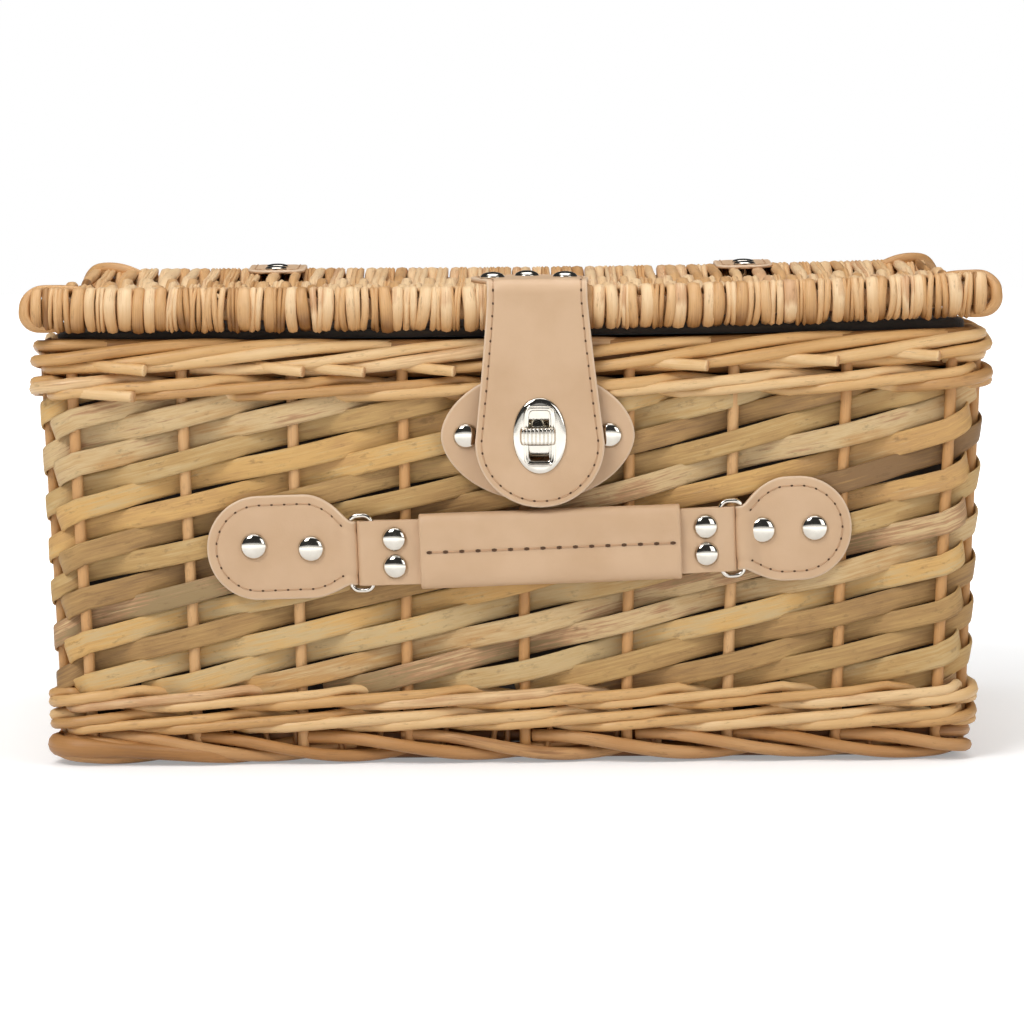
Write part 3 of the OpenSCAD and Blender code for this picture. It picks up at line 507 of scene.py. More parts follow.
# one thick rod bends round the front's left corner and falls along the front
share = np.linspace(0, 1, 48)
fall = 4.4 * np.clip((share - 0.2) / 0.7, 0, 1) ** 1.1
end_in = 9.0 * np.clip((share - 0.72) / 0.28, 0, 1) ** 2
start_in = 60.0 * np.clip(0.1 - share, 0, 1)
path, outward = wall(-eye_half[0] - CORNER - 9.0 + 96.0 * share, 8.3 - fall, 4.6 - end_in - start_in)
girth = 4.3 - 1.4 * np.clip((share - 0.1) / 0.3, 0, 1)
foot_rods.append(carry(path, outward, girth, girth * 1.15, sides=12, tone=0.35 + 0.1 * np.sin(9 * share)))
foot = weave("foot_rods", foot_rods, willow_stick)
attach(foot, "basket")
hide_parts("foot_border")


# ---- Base ----
# Five sticks run the length of the base, and fine rods are woven front to back over and
# under them. The photograph does not show it, so it follows the usual make.
def across_strand(x, y_from, y_to, sticks, first, tone, level=6.6, rise=3.4, rod_r=2.3):
    """A fine rod from front to back that passes over one stick and under the next: its height
    is a cosine with a half wave from stick to stick, and it wanders a little on a sine."""
    y = np.linspace(y_from, y_to, 8 * (len(sticks) + 1) + 1)
    knots = np.concatenate([[2 * sticks[0] - sticks[1]], sticks, [2 * sticks[-1] - sticks[-2]]])
    beat = np.interp(y, knots, np.arange(len(knots)))
    z = level + rise * np.cos(math.pi * (beat + first))
    path = np.stack([x + 0.2 * np.sin(y / 40.0 + 9 * tone), y, z], -1)
    step = np.gradient(path, axis=0)
    out = unit(np.stack([np.zeros(len(y)), -step[:, 2], step[:, 1]], -1))
    return carry(path, out, rod_r, rod_r, sides=7, tone=tone)


base_lo, base_hi = (1000 * np.array(c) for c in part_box("base_weave"))
stick_lo, stick_hi = (1000 * np.array(c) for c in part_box("base_sticks"))
base_sticks_y = np.linspace(stick_lo[1] + 3, stick_hi[1] - 3, 5)
BASE_STRANDS = 76
rods = []
for i, x in enumerate(np.linspace(base_lo[0] + 3, base_hi[0] - 3, BASE_STRANDS)):
    rods.append(across_strand(x + chance.uniform(-0.2, 0.2), base_lo[1] + 1, base_hi[1] - 1,
                              base_sticks_y, i % 2, chance.uniform(0.2, 0.9)))
base = weave("base_strands", rods, willow_rod)
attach(base, "basket")
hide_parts("base_weave")


def straight_stick(a, b, rod_r, tone):
    """A straight stick from a to b, with a faint bow and a girth that changes slowly."""
    share = np.linspace(0, 1, 24)[:, None]
    path = np.asarray(a, float) * (1 - share) + np.asarray(b, float) * share
    path[:, 2] += 0.25 * np.sin(7 * share[:, 0] + 9 * tone)
    out = np.broadcast_to(np.array([0.0, 0.0, 1.0]), path.shape)
    girth = rod_r * (1 + 0.03 * np.sin(11 * share[:, 0] + 5 * tone))
    return carry(path, out, girth, girth, sides=12, tone=tone)


STICK_Z, STICK_R = 4.2, 2.9
rods = [straight_stick((stick_lo[0], y, STICK_Z), (stick_hi[0], y, STICK_Z), STICK_R,
                       chance.uniform(0.2, 0.8)) for y in base_sticks_y]
under_sticks = weave("under_sticks", rods, willow_stick)
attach(under_sticks, "basket")
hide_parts("base_sticks")


# ---- Lining ----
# A dark plain-woven cloth lines the floor and the walls, sewn in at the waling. It shows
# through the gaps of the weave, and all of it when the lid is up.
def cloth(name, colour, light):
    """Plain-woven cloth: crossing threads in the bump, slow blots in the shade, a soft sheen."""
    mat, node, skin = finish(name, 0.86)
    where = node("ShaderNodeTexCoord").outputs["Object"]
    threads = [node("ShaderNodeTexWave", wave_type="BANDS", bands_direction=axis, Vector=where, Scale=300.0,
                    Distortion=1.2).outputs["Fac"] for axis in ("X", "Z", "Y")]
    crossing = node("ShaderNodeMath", threads[0], threads[1], operation="MULTIPLY")
    woven = node("ShaderNodeMath", crossing.outputs[0], threads[2], operation="ADD")
    blot = node("ShaderNodeTexNoise", Vector=where, Scale=22.0, Detail=3.0)
    fill(skin.inputs["Base Color"], ramp(node, blot.outputs[0], [(0.3, colour), (0.8, light)]))
    fill(skin.inputs["Sheen Weight"], 0.25)
    fill(skin.inputs["Sheen Roughness"], 0.6)
    emboss(node, skin, woven.outputs[0], 0.14, 0.0004)
    return mat


lining_cloth = cloth("lining_cloth", "2b241d", "40362b")


def cells(rows, columns, close_round=True):
    """The four corners of each cell of a grid, whose last column may join its first."""
    last = columns if close_round else columns - 1
    i, j = np.meshgrid(np.arange(rows - 1), np.arange(last), indexing="ij")
    k = (j + 1) % columns
    faces = [i * columns + j, i * columns + k, (i + 1) * columns + k, (i + 1) * columns + j]
    return np.stack(faces, -1).reshape(-1, 4)


def sheet_grid(name, points, material, close_round=False):
    """A mesh of a grid of points, (rows, columns, 3) in mm, smooth all over."""
    faces = cells(*points.shape[:2], close_round)
    mesh = bpy.data.meshes.new(name)
    mesh.from_pydata((points.reshape(-1, 3) * 0.001).tolist(), [], faces.tolist())
    mesh.polygons.foreach_set("use_smooth", np.ones(len(mesh.polygons), bool))
    return stand(name, mesh, material)


def merge(piece, gap=1e-5):
    """Joins corners that lie on each other and turns every face outwards."""
    shape = bmesh.new()
    shape.from_mesh(piece.data)
    bmesh.ops.remove_doubles(shape, verts=shape.verts, dist=gap)
    bmesh.ops.dissolve_degenerate(shape, edges=shape.edges, dist=gap)
    bmesh.ops.recalc_face_normals(shape, faces=shape.faces)
    shape.to_mesh(piece.data)
    shape.free()
    piece.data.polygons.foreach_set("use_smooth", np.ones(len(piece.data.polygons), bool))
    piece.data.update()


# the cloth's profile, as heights and distances inwards from the stakes: from the middle of the
# floor up the inside of the wall, over its hem, down the outside and back under the floor
LINING_IN = 9.75
levels = np.concatenate([np.full(9, 13.6), np.linspace(14.6, 164.6, 36), [165.9, 166.1, 165.9],
                         np.linspace(164.6, 13.6, 36), [12.6], np.full(9, 12.6)])
tucks = np.concatenate([np.linspace(130.0, 12.0, 8), [10.6], np.full(36, LINING_IN), [9.6, 9.2, 8.9],
                        np.full(36, 8.8), [9.4], np.linspace(10.6, 130.0, 9)])
ring_s = np.linspace(0, ROUND, 360, endpoint=False)
cloth_rows = []
for v, tuck in zip(levels, tucks):
    fold = 0.35 * np.sin(ring_s / 19.0 + 0.05 * v) * np.sin(v / 27.0) + 0.2 * np.sin(ring_s / 7.0)
    flat = max(0.0, tuck - LINING_IN)
    points, outward = wall(ring_s, v, -min(tuck, LINING_IN) - 0.25 - 0.2 * fold * (flat == 0))
    box_w, box_d = (half - LINING_IN for half in half_at(v))
    points[:, 0] *= (box_w - flat) / box_w
    points[:, 1] = MIDDLE_Y + (points[:, 1] - MIDDLE_Y) * max(0.0, box_d - flat) / box_d
    points[:, 2] = v
    cloth_rows.append(points)
lining = sheet_grid("lining_cloth_tray", np.array(cloth_rows)[:, ::-1], lining_cloth, close_round=True)
merge(lining, 4e-4)
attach(lining, "basket")
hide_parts("basket_lining")


# ---- Lid ----
# Thick sticks run along the lid's front and back edges and five thinner ones between them.
# Willow strands go front to back over and under them and turn round the edge sticks, side by
# side, so each edge is a row of upright wraps. The right end is warped upwards a little.
wrap_lo, wrap_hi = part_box("lid_edge_wraps")
LID_MID = 500.0 * (wrap_lo[2] + wrap_hi[2])
LID_HALF = 500.0 * (wrap_hi[2] - wrap_lo[2])
EDGE_R = 4.5
EDGE_IN = 8.7                    # from the wraps' outer face to the middle of the edge stick
STRAND_T = 2.1                   # half the thickness of a whole strand
STRANDS = 78
lid_y = np.array([1000 * wrap_lo[1] + EDGE_IN, 1000 * wrap_hi[1] - EDGE_IN])
inner_lo, inner_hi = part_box("lid_sticks")
lid_sticks_y = np.linspace(1000 * inner_lo[1] + 3, 1000 * inner_hi[1] - 3, 5)
LID_STICK_R = 2.9


def lid_rise(x, y):
    """The lid's warp: how far it rises, with a power of the distance to the right end, and
    more at the front than at the back, where it also lies a little lower."""
    right = np.clip(np.asarray(x, float) / 205.0, 0, 1)
    left = np.clip(-np.asarray(x, float) / 205.0, 0, 1)
    front = np.clip((lid_y[1] - np.asarray(y, float)) / (lid_y[1] - lid_y[0]), 0, 1)
    return (2.8 + 2.0 * front) * right ** 1.7 + 0.6 * left ** 2 - 1.1 * (1 - front)


def warp(points):
    """The points, raised by the lid's warp."""
    points = np.array(points, float)
    points[..., 2] += lid_rise(points[..., 0], points[..., 1])
    return points


def lid_strand(x, half, first, tone, slant, thick=STRAND_T, sides=8, square=2.5, bow=0.0, proud=0.0,
               lean=0.0, drop=0.0):
    """A strand over the lid. From under the front edge it goes up round the front stick, over
    and under the inner sticks and round the back stick: arcs of an oval at the edges, and a
    cosine with a half wave from stick to stick between them. Under the edges its tone is
    painted darker, as painted shade.
    `first` says whether it starts over or under, `slant`, `bow` and `lean` move it sideways
    over its length and round the edges, `proud` outwards, and `drop` down at the edges' foot."""
    deep, tall = EDGE_R + 0.15 + thick + proud, LID_HALF - thick
    arc = np.radians(np.linspace(-96, 88, 17))
    sunk = drop * np.clip(-np.sin(arc), 0, 1)
    front = np.stack([lid_y[0] - deep * np.cos(arc), LID_MID + tall * np.sin(arc) - sunk], -1)
    tail = np.stack([lid_y[0] + np.array([9.0, 6.0, 3.0]), LID_MID - tall + np.array([1.0, 0.5, 0.1])], -1)
    knots_y = np.concatenate([[lid_y[0]], lid_sticks_y, [lid_y[1]]])
    sign = np.array([1.0 if (k + first) % 2 == 0 else -1.0 for k in range(len(lid_sticks_y))])
    heights = np.concatenate([[tall], sign * (LID_STICK_R + 0.3 + thick), [tall]])
    y = np.linspace(lid_y[0] + 1.5, lid_y[1] - 1.5, 56)
    place = np.interp(y, knots_y, np.arange(len(knots_y)))
    k = np.minimum(place.astype(int), len(heights) - 2)
    part = place - k
    wave = 0.5 - 0.5 * np.cos(math.pi * part)
    z = LID_MID + heights[k] * (1 - wave) + heights[k + 1] * wave
    edge = np.concatenate([tail, front])
    back = edge[::-1] * [-1, 1] + [lid_y[0] + lid_y[1], 0]
    line = np.concatenate([edge, np.stack([y, z], -1), back])
    share = np.linspace(0, 1, len(line))
    # painted shade: a share that grows below the lid's middle, on the wraps round the edge sticks
    low = np.clip((LID_MID + 2.0 - line[:, 1]) / 9.0, 0, 1) * (np.abs(share - 0.5) > 0.28)
    xs = x + slant * np.cos(math.pi * share) + 0.4 * np.sin(9 * share + 7 * tone)
    at_edge = np.concatenate([np.full(3, -1.0), np.sin(arc), np.zeros(len(y)), -np.sin(arc)[::-1],
                              np.full(3, 1.0)])
    xs += lean * at_edge + bow * (np.abs(at_edge) > 0) * (1 - at_edge ** 2)
    path = np.column_stack([xs, line])
    step = np.gradient(path, axis=0)
    out = unit(np.stack([np.zeros(len(xs)), -step[:, 2], step[:, 1]], -1))
    girth = 1 + 0.06 * np.sin(14 * share + 5 * tone) + 0.05 * (1 - at_edge ** 2) * (np.abs(at_edge) > 0)
    depth = thick * (1 + 0.04 * np.sin(11 * share + 3 * tone))
    # the tone, less the painted shade under the edges, with a little random change along it
    tones = tone - 0.42 * low + 0.04 * np.sin(40 * share + 9 * tone)
    return carry(warp(path), out, depth, half * girth, sides=sides, square=square, tone=tones)


# each strand keeps its place in the row, but its sides wander, and some are two or three thin rods
WEAVE_HALF = 192.75
marks = np.linspace(-WEAVE_HALF, WEAVE_HALF, STRANDS + 1)
marks[1:-1] += np.clip(chance.normal(0.0, 0.42, STRANDS - 1), -0.85, 0.85)
rods = []
for i, (a, b) in enumerate(zip(marks[:-1], marks[1:])):
    thin = 3 if chance.uniform() < 0.17 else 2 if chance.uniform() < 0.34 else 1
    gap = chance.choice([0.0, 0.05, 0.5], p=[0.5, 0.3, 0.2])
    cuts = np.linspace(a + 0.5 * gap, b - 0.5 * gap, thin + 1)
    tone = chance.uniform(0.25, 1.0)
    slant = chance.normal(0.0, 0.45)
    for c, d in zip(cuts[:-1], cuts[1:]):
        thick = STRAND_T if thin == 1 else STRAND_T * chance.uniform(0.66, 0.86)
        rods.append(lid_strand(0.5 * (c + d), 0.5 * (d - c) + 0.22, i % 2, tone + chance.uniform(-0.12, 0.12),
                               slant + chance.uniform(-0.15, 0.15), thick=thick,
                               sides=8 if thin == 1 else 6, square=2.6 if thin == 1 else 2.2,
                               bow=chance.normal(0.0, 0.38),
                               proud=float(np.clip(chance.normal(0.0, 0.4), -0.6, 0.7)),
                               lean=chance.normal(0.0, 0.4),
                               drop=float(np.clip(chance.normal(0.0, 0.5), -0.9, 0.7))))
strand_stops = [(0.0, "86592b"), (0.2, "b58550"), (0.42, "d2a36d"), (0.66, "deb685"), (0.86, "eac99c"),
                (1.0, "cd9f73")]
willow_strand = willow("willow_strand", strand_stops, grain=1.3, bump=0.6, rough=0.46, marks=0.6)
lid_weave = weave("lid_strands", rods, willow_strand)
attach(lid_weave, "lid")
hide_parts("lid_weave_top", "lid_weave_under", "lid_edge_wraps")

# the sticks themselves, whose ends reach just past the weave
EDGE_REACH = 201.6
rods = []
for y, rod_r in [(lid_y[0], EDGE_R), (lid_y[1], EDGE_R)] + [(y, LID_STICK_R) for y in lid_sticks_y]:
    reach = EDGE_REACH if rod_r == EDGE_R else 201.0 + chance.uniform(-2.0, 2.0)
    share = np.linspace(0, 1, 60)[:, None]
    line = warp(np.array([-reach, y, LID_MID]) * (1 - share) + np.array([reach, y, LID_MID]) * share)
    up = np.broadcast_to(np.array([0.0, 0.0, 1.0]), line.shape)
    rods.append(carry(line, up, rod_r, rod_r, sides=14, tone=chance.uniform(0.3, 0.8)))
lid_rods = weave("lid_stick_rods", rods, willow_stake)
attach(lid_rods, "lid")
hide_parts("lid_edge_sticks", "lid_sticks")


def smooth_line(points, count):
    """A smooth line through the points: between two of them, a cubic whose slopes are those
    between each point's neighbours."""
    p = np.asarray(points, float)
    slope = np.gradient(p, axis=0)
    at = np.linspace(0, len(p) - 1, count)
    k = np.minimum(at.astype(int), len(p) - 2)
    t = (at - k)[:, None]
    return ((2 * t ** 3 - 3 * t ** 2 + 1) * p[k] + (t ** 3 - 2 * t ** 2 + t) * slope[k]
            + (3 * t ** 2 - 2 * t ** 3) * p[k + 1] + (t ** 3 - t ** 2) * slope[k + 1])


# beyond the weave one more strand closes each end, with a thin dark one sunk in the gap before
# it as painted shade, and at each corner a thicker rod comes along the lid's top, turns down
# round the end and goes back under it. The rod's knots: distance from the middle, inwards from
# the edge stick, height.
TOP = LID_MID + LID_HALF
FOOT = LID_MID - LID_HALF
rods = []
for side, place, half in ((-1, 197.3, 2.3), (1, 196.1, 2.5)):
    rods.append(lid_strand(side * place, half, int(side > 0), chance.uniform(0.35, 0.7), 0.2 * side,
                           sides=12, square=3.0))
    # the thin dark strand, sunk into the gap: painted shade
    rods.append(lid_strand(side * 194.2, 1.6, int(side < 0), 0.1, 0.0, proud=-1.3))
    for y, inwards, rod_r, lift in ((lid_y[0], 1, 2.45, 0.5), (lid_y[1], -1, 2.9, 2.2)):
        knots = [(170.0, 9.5, TOP - 8.0), (177.5, 9.2, TOP - 3.6), (184.5, 8.6, TOP - 2.4 + 0.7 * lift),
                 (191.5, 6.5, TOP - 2.2 + lift), (198.0, 2.6, TOP - 2.4 + 0.6 * lift),
                 (201.9, -2.4, TOP - 5.4), (202.7, -5.4, TOP - 9.6), (202.2, -5.8, FOOT + 6.0),
                 (199.6, -4.6, FOOT + 3.2), (195.0, -1.8, FOOT + 2.4), (188.0, 2.5, FOOT + 2.8)]
        line = smooth_line([(side * x, y + inwards * d, z) for x, d, z in knots], 72)
        out = unit(np.cross([0.0, 1.0, 0.0], np.gradient(line, axis=0)) * side)
        rods.append(carry(warp(line), out, rod_r, rod_r, sides=12, tone=chance.uniform(0.2, 0.4)))
end_loops = weave("lid_end_loops", rods, willow_strand)
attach(end_loops, "lid")
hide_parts("lid_end_rods")


# ---- Lid lining ----
# A thin board covered with the same dark cloth closes the underside of the lid, a little
# smaller than the rim that it lands on. Its corners are rounded and its edges are soft.
def rounded_slab(lo, hi, radius, edge, count=24):
    """A slab from corner to corner: its outline is a rectangle with round corners, and its
    edge follows a quarter circle above and below. Gives the grid of points."""
    centre = 0.5 * (lo + hi)
    half = 0.5 * (hi - lo)
    angle = np.linspace(0, 2 * math.pi, 4 * count, endpoint=False)
    quarter = np.floor(angle / (0.5 * math.pi))
    sx = np.where((quarter == 0) | (quarter == 3), 1, -1)
    sy = np.where(quarter < 2, 1, -1)
    ring = np.stack([sx * (half[0] - radius) + radius * np.cos(angle),
                     sy * (half[1] - radius) + radius * np.sin(angle)], -1)
    normal = np.stack([np.cos(angle), np.sin(angle)], -1)
    bow = np.radians([-90, -60, -30, 0, 30, 60, 90])
    rows = [(ring * tuck, -half[2]) for tuck in (0.0, 0.35, 0.8)]
    rows += [(ring - normal * edge * (1 - math.cos(a)), half[2] * math.sin(a)) for a in bow]
    rows += [(ring * tuck, half[2]) for tuck in (0.8, 0.35, 0.0)]
    return np.array([np.column_stack([centre[0] + r[:, 0], centre[1] + r[:, 1],
                                      np.full(len(r), centre[2] + z)]) for r, z in rows])


panel_lo, panel_hi = (1000 * np.array(c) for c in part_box("lid_lining"))
panel_points = rounded_slab(panel_lo, panel_hi, radius=9.0, edge=2.2)
# its underside follows the rim's warp and its top the lid's
upper_share = (panel_points[..., 2] - panel_lo[2]) / (panel_hi[2] - panel_lo[2])
panel_points[..., 2] += (rim_rise(panel_points[..., 0]) * (1 - upper_share)
                         + lid_rise(panel_points[..., 0], panel_points[..., 1]) * upper_share)
panel = sheet_grid("lid_lining_board", panel_points, lining_cloth, close_round=True)
merge(panel)
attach(panel, "lid")
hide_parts("lid_lining")


# ---- Leather patches for the handle ----
# Each patch is smooth beige leather with a round outer end and a narrow neck. The neck
# turns round the ring's wire and back under itself, and a line of stitches follows the
# edge. Two domed rivets fix it through the weave.
LEATHER_T = 1.9
HANDLE_AT = np.array([16.0, 93.5])   # the grip's middle, along the front wall and up its slope
HANDLE_TILT = math.radians(1.9)
GRIP_HALF = 54.7
GRIP_OUT = 9.6                   # from the stakes' line to the grip's middle
RING_OUT = 6.7                   # and to the wire where the patch holds it
WIRE_LOOP_R = 2.12               # the neck's bend round the wire, at its middle
REACH = {-1: 29.2, 1: 26.2}      # from the grip's ends to the rings' outer lines


def on_front(x, up, out):
    """Points on the front wall: x along it, up along its slope, out from its stakes."""
    x, up, out = np.broadcast_arrays(np.asarray(x, float), np.asarray(up, float), np.asarray(out, float))
    return np.stack([x, MIDDLE_Y - BASE_HALF[1] - up * math.sin(LEAN) - out * math.cos(LEAN),
                     up * math.cos(LEAN) - out * math.sin(LEAN)], -1)


def on_handle(x, y, out):
    """Points in the handle's own frame: the front wall's, turned by the handle's tilt."""
    x, y = np.asarray(x, float), np.asarray(y, float)
    return on_front(HANDLE_AT[0] + x * math.cos(HANDLE_TILT) - y * math.sin(HANDLE_TILT),
                    HANDLE_AT[1] + x * math.sin(HANDLE_TILT) + y * math.cos(HANDLE_TILT), out)


def leather(name, colour, edge_highlight_colour, deep):
    """Smooth finished leather: a fine pebbled grain, slow cloudy variation, and a paler rim,
    a painted highlight, where the `rim` attribute falls to nothing at the cut edge."""
    mat, node, skin = finish(name, 0.48)
    where = node("ShaderNodeTexCoord").outputs["Object"]
    cloud = node("ShaderNodeTexNoise", Vector=where, Scale=38.0, Detail=3.0)
    tone = ramp(node, cloud.outputs[0], [(0.3, deep), (0.62, colour)])
    # painted highlight: the colour turns paler within about a millimetre of the cut edge
    rim_at = node("ShaderNodeAttribute", attribute_name="rim")
    edge = ramp(node, rim_at.outputs["Fac"], [(0.0, 1.0), (0.06, 0.6), (0.2, 0.0)])
    fill(skin.inputs["Base Color"], between(node, edge, tone, shade(edge_highlight_colour)))
    pebble = node("ShaderNodeTexVoronoi", Vector=where, Scale=1500.0).outputs["Distance"]
    pores = node("ShaderNodeTexNoise", Vector=where, Scale=700.0, Detail=4.0).outputs[0]
    fill(skin.inputs["Roughness"], ramp(node, pores, [(0.3, 0.42), (0.7, 0.56)]))
    grain = node("ShaderNodeMath", pebble, 0.5, pores, operation="MULTIPLY_ADD")
    emboss(node, skin, grain.outputs[0], 0.16, 0.0003)
    return mat


# the third colour is the painted highlight along the cut edges
beige_leather = leather("beige_leather", "d0ae8b", "dec6aa", "c7a480")


def plain(name, colour, rough, grain=600.0, spread=0.12):
    """A plain colour with a fine mottle: its colour, a share darker and a share lighter. The thread's is its
    dye; the stitch holes' is painted shade.
    """
    mat, node, skin = finish(name, rough)
    where = node("ShaderNodeTexCoord").outputs["Object"]
    speck = node("ShaderNodeTexNoise", Vector=where, Scale=grain, Detail=2.0)
    dark, light = ([min(1.0, c * share) for c in shade(colour)[:3]] + [1.0]
                   for share in (1 - spread, 1 + spread))
    fill(skin.inputs["Base Color"], between(node, speck.outputs[0], dark, light))
    return mat


thread_finish = plain("thread", "c39c78", 0.7, 2500.0)
# the stitch holes' dark colour is painted shade for the hollow of each hole
painted_hole_shade = plain("stitch_hole_shade", "573d29", 0.9)


def mark_edge_highlight(piece, values):
    """Writes how far each corner is from the cut edge, as a share, for the painted highlight along that edge.
    """
    tags = piece.data.attributes.new("rim", "FLOAT", "POINT")
    tags.data.foreach_set("value", np.asarray(values, np.float32).ravel())


def hide(name, along, half, place, thick, stitch_in=None, plump=0.35, columns=37):
    """A cut piece of leather. Rows at `along` run across it from -half to half, closer together
    towards the edges, over the face and back under it. A point's height depends on its distance
    to the nearest cut edge: the edge is rounded, the stitches lie in a narrow dip, and the
    middle is a little plump. `place` bends (across, along, height) into space."""
    along, half = np.asarray(along, float), np.asarray(half, float)
    t = np.sin(np.linspace(-0.5 * math.pi, 0.5 * math.pi, columns))
    u = half[:, None] * t[None]
    s = along[:, None] + 0 * u
    fine = np.linspace(0, len(along) - 1, 700)
    edge_s = np.interp(fine, np.arange(len(along)), along)
    edge_u = np.interp(fine, np.arange(len(along)), half)
    ends = [np.stack([np.linspace(-half[k], half[k], 60), np.full(60, along[k])], -1) for k in (0, -1)]
    outline = np.concatenate([np.stack([edge_u, edge_s], -1), np.stack([-edge_u, edge_s], -1)] + ends)
    grid = np.stack([u, s], -1).reshape(-1, 2)
    gap = np.concatenate([np.sqrt(((part[:, None] - outline[None]) ** 2).sum(-1)).min(1)
                          for part in np.array_split(grid, 24)]).reshape(u.shape)
    worn = np.clip(1 - gap / 0.8, 0, 1) ** 2
    top = thick - 0.5 * worn
    if stitch_in:
        dip = 0.2 * np.exp(-((gap - stitch_in) / 0.8) ** 2)
        top = top - dip + plump * np.clip((gap - stitch_in) / 3.0, 0, 1)
    under = 0.3 * worn
    across, lengthways = np.concatenate([u, u[:, ::-1]], 1), np.concatenate([s, s], 1)
    heights = np.concatenate([top, under[:, ::-1]], 1)
    middle = np.full(2 * columns, 0.5 * thick)
    rows = [place(across[0], lengthways[0], middle)]
    rows += [place(across[k], lengthways[k], heights[k]) for k in range(len(along))]
    rows.append(place(across[-1], lengthways[-1], middle))
    piece = sheet_grid(name, np.array(rows), beige_leather, close_round=True)
    # the share that sets the painted highlight: the distance from the cut edge over 5 mm, and none on the
    # underside
    rim_values = np.concatenate([np.minimum(gap / 5.0, 1.0), np.full(u.shape, 0.4)], 1)
    mark_edge_highlight(piece, np.concatenate([rim_values[:1], rim_values, rim_values[-1:]]))
    merge(piece)
    return piece


def inset(along, half, depth):
    """The line of stitches of a piece with a round end: its outline moved inwards by depth.
    It starts and ends at the piece's first row."""
    right = np.stack([half, along], -1)
    ring = np.concatenate([right, (right * [-1, 1])[::-1][1:]])
    step = unit(np.gradient(ring, axis=0))
    return ring + depth * np.stack([-step[:, 1], step[:, 0]], -1)


def sew(name, line, place, height, pitch=5.2, closed=True, hole=(0.62, 0.43), thread_r=0.24):
    """Hand stitches along a flat line: a dark oval at each pitch, painted shade for the hole
    there, and between two holes a thread that bows out of one and into the next. Gives the
    thread and the holes."""
    line = np.asarray(line, float)
    if closed:
        line = np.concatenate([line, line[:1]])
    along = distances(line)
    count = int(round(along[-1] / pitch))
    marks = np.linspace(0, along[-1], count + 1)
    at = lambda s: (np.interp(s, along, line[:, 0]), np.interp(s, along, line[:, 1]))
    threads = []
    for a, b in zip(marks[:-1], marks[1:]):
        s = np.linspace(a + 0.12 * pitch, b - 0.12 * pitch, 6)
        share = np.linspace(0, 1, 6)
        u, v = at(s)
        bow = height - 0.15 + 0.28 * np.sin(math.pi * share)
        path = place(u, v, bow)
        out = unit(place(u, v, bow + 1.0) - path)
        threads.append(carry(path, out, thread_r, thread_r, sides=5, tone=0.5))
    thread = weave(name + "_thread", threads, thread_finish)
    # the holes: flat dark ovals, painted shade for the hollow of each stitch hole
    angle = 0.25 * math.pi * np.arange(8)
    dots, faces = [], []
    for s in marks[:-1] if closed else marks:
        u, v = at(s)
        u1, v1 = at(min(s + 0.2, along[-1]))
        u0, v0 = at(max(s - 0.2, 0.0))
        step = unit([u1 - u0, v1 - v0])
        ru = u + hole[0] * np.cos(angle) * step[0] - hole[1] * np.sin(angle) * step[1]
        rv = v + hole[0] * np.cos(angle) * step[1] + hole[1] * np.sin(angle) * step[0]
        faces.append([len(dots) * 8 + k for k in range(8)])
        dots.append(place(ru, rv, np.full(8, height + 0.12)))
    mesh = bpy.data.meshes.new(name + "_holes")
    mesh.from_pydata((np.concatenate(dots) * 0.001).tolist(), [], faces)
    return thread, stand(name + "_holes", mesh, painted_hole_shade)


def bent(path):
    """A bending line for leather: gives a function from a distance along the line and a
    height above it to the line's own two coordinates."""
    path = np.asarray(path, float)
    along = distances(path)
    step = unit(np.gradient(path, along, axis=0))
    left = np.stack([-step[:, 1], step[:, 0]], -1)

    def at(s, h):
        s = np.asarray(s, float)
        over = np.clip(s - along[-1], 0, None)
        under = np.clip(-s, 0, None)
        a = np.interp(s, along, path[:, 0]) + over * step[-1, 0] - under * step[0, 0]
        b = np.interp(s, along, path[:, 1]) + over * step[-1, 1] - under * step[0, 1]
        na = np.interp(s, along, left[:, 0])
        nb = np.interp(s, along, left[:, 1])
        return a + na * h, b + nb * h

    return at, along[-1]


def round_rows(near, far, end_r, step=1.5):
    """Rows from near to far, evenly apart, and closer together over the last end_r, where the
    outline is a circle: its rows stand at even angles."""
    straight = np.arange(near, far - end_r, step)
    angle = np.radians(np.linspace(0, 90, 26))
    return np.concatenate([straight, far - end_r + end_r * np.sin(angle)]), len(straight), angle


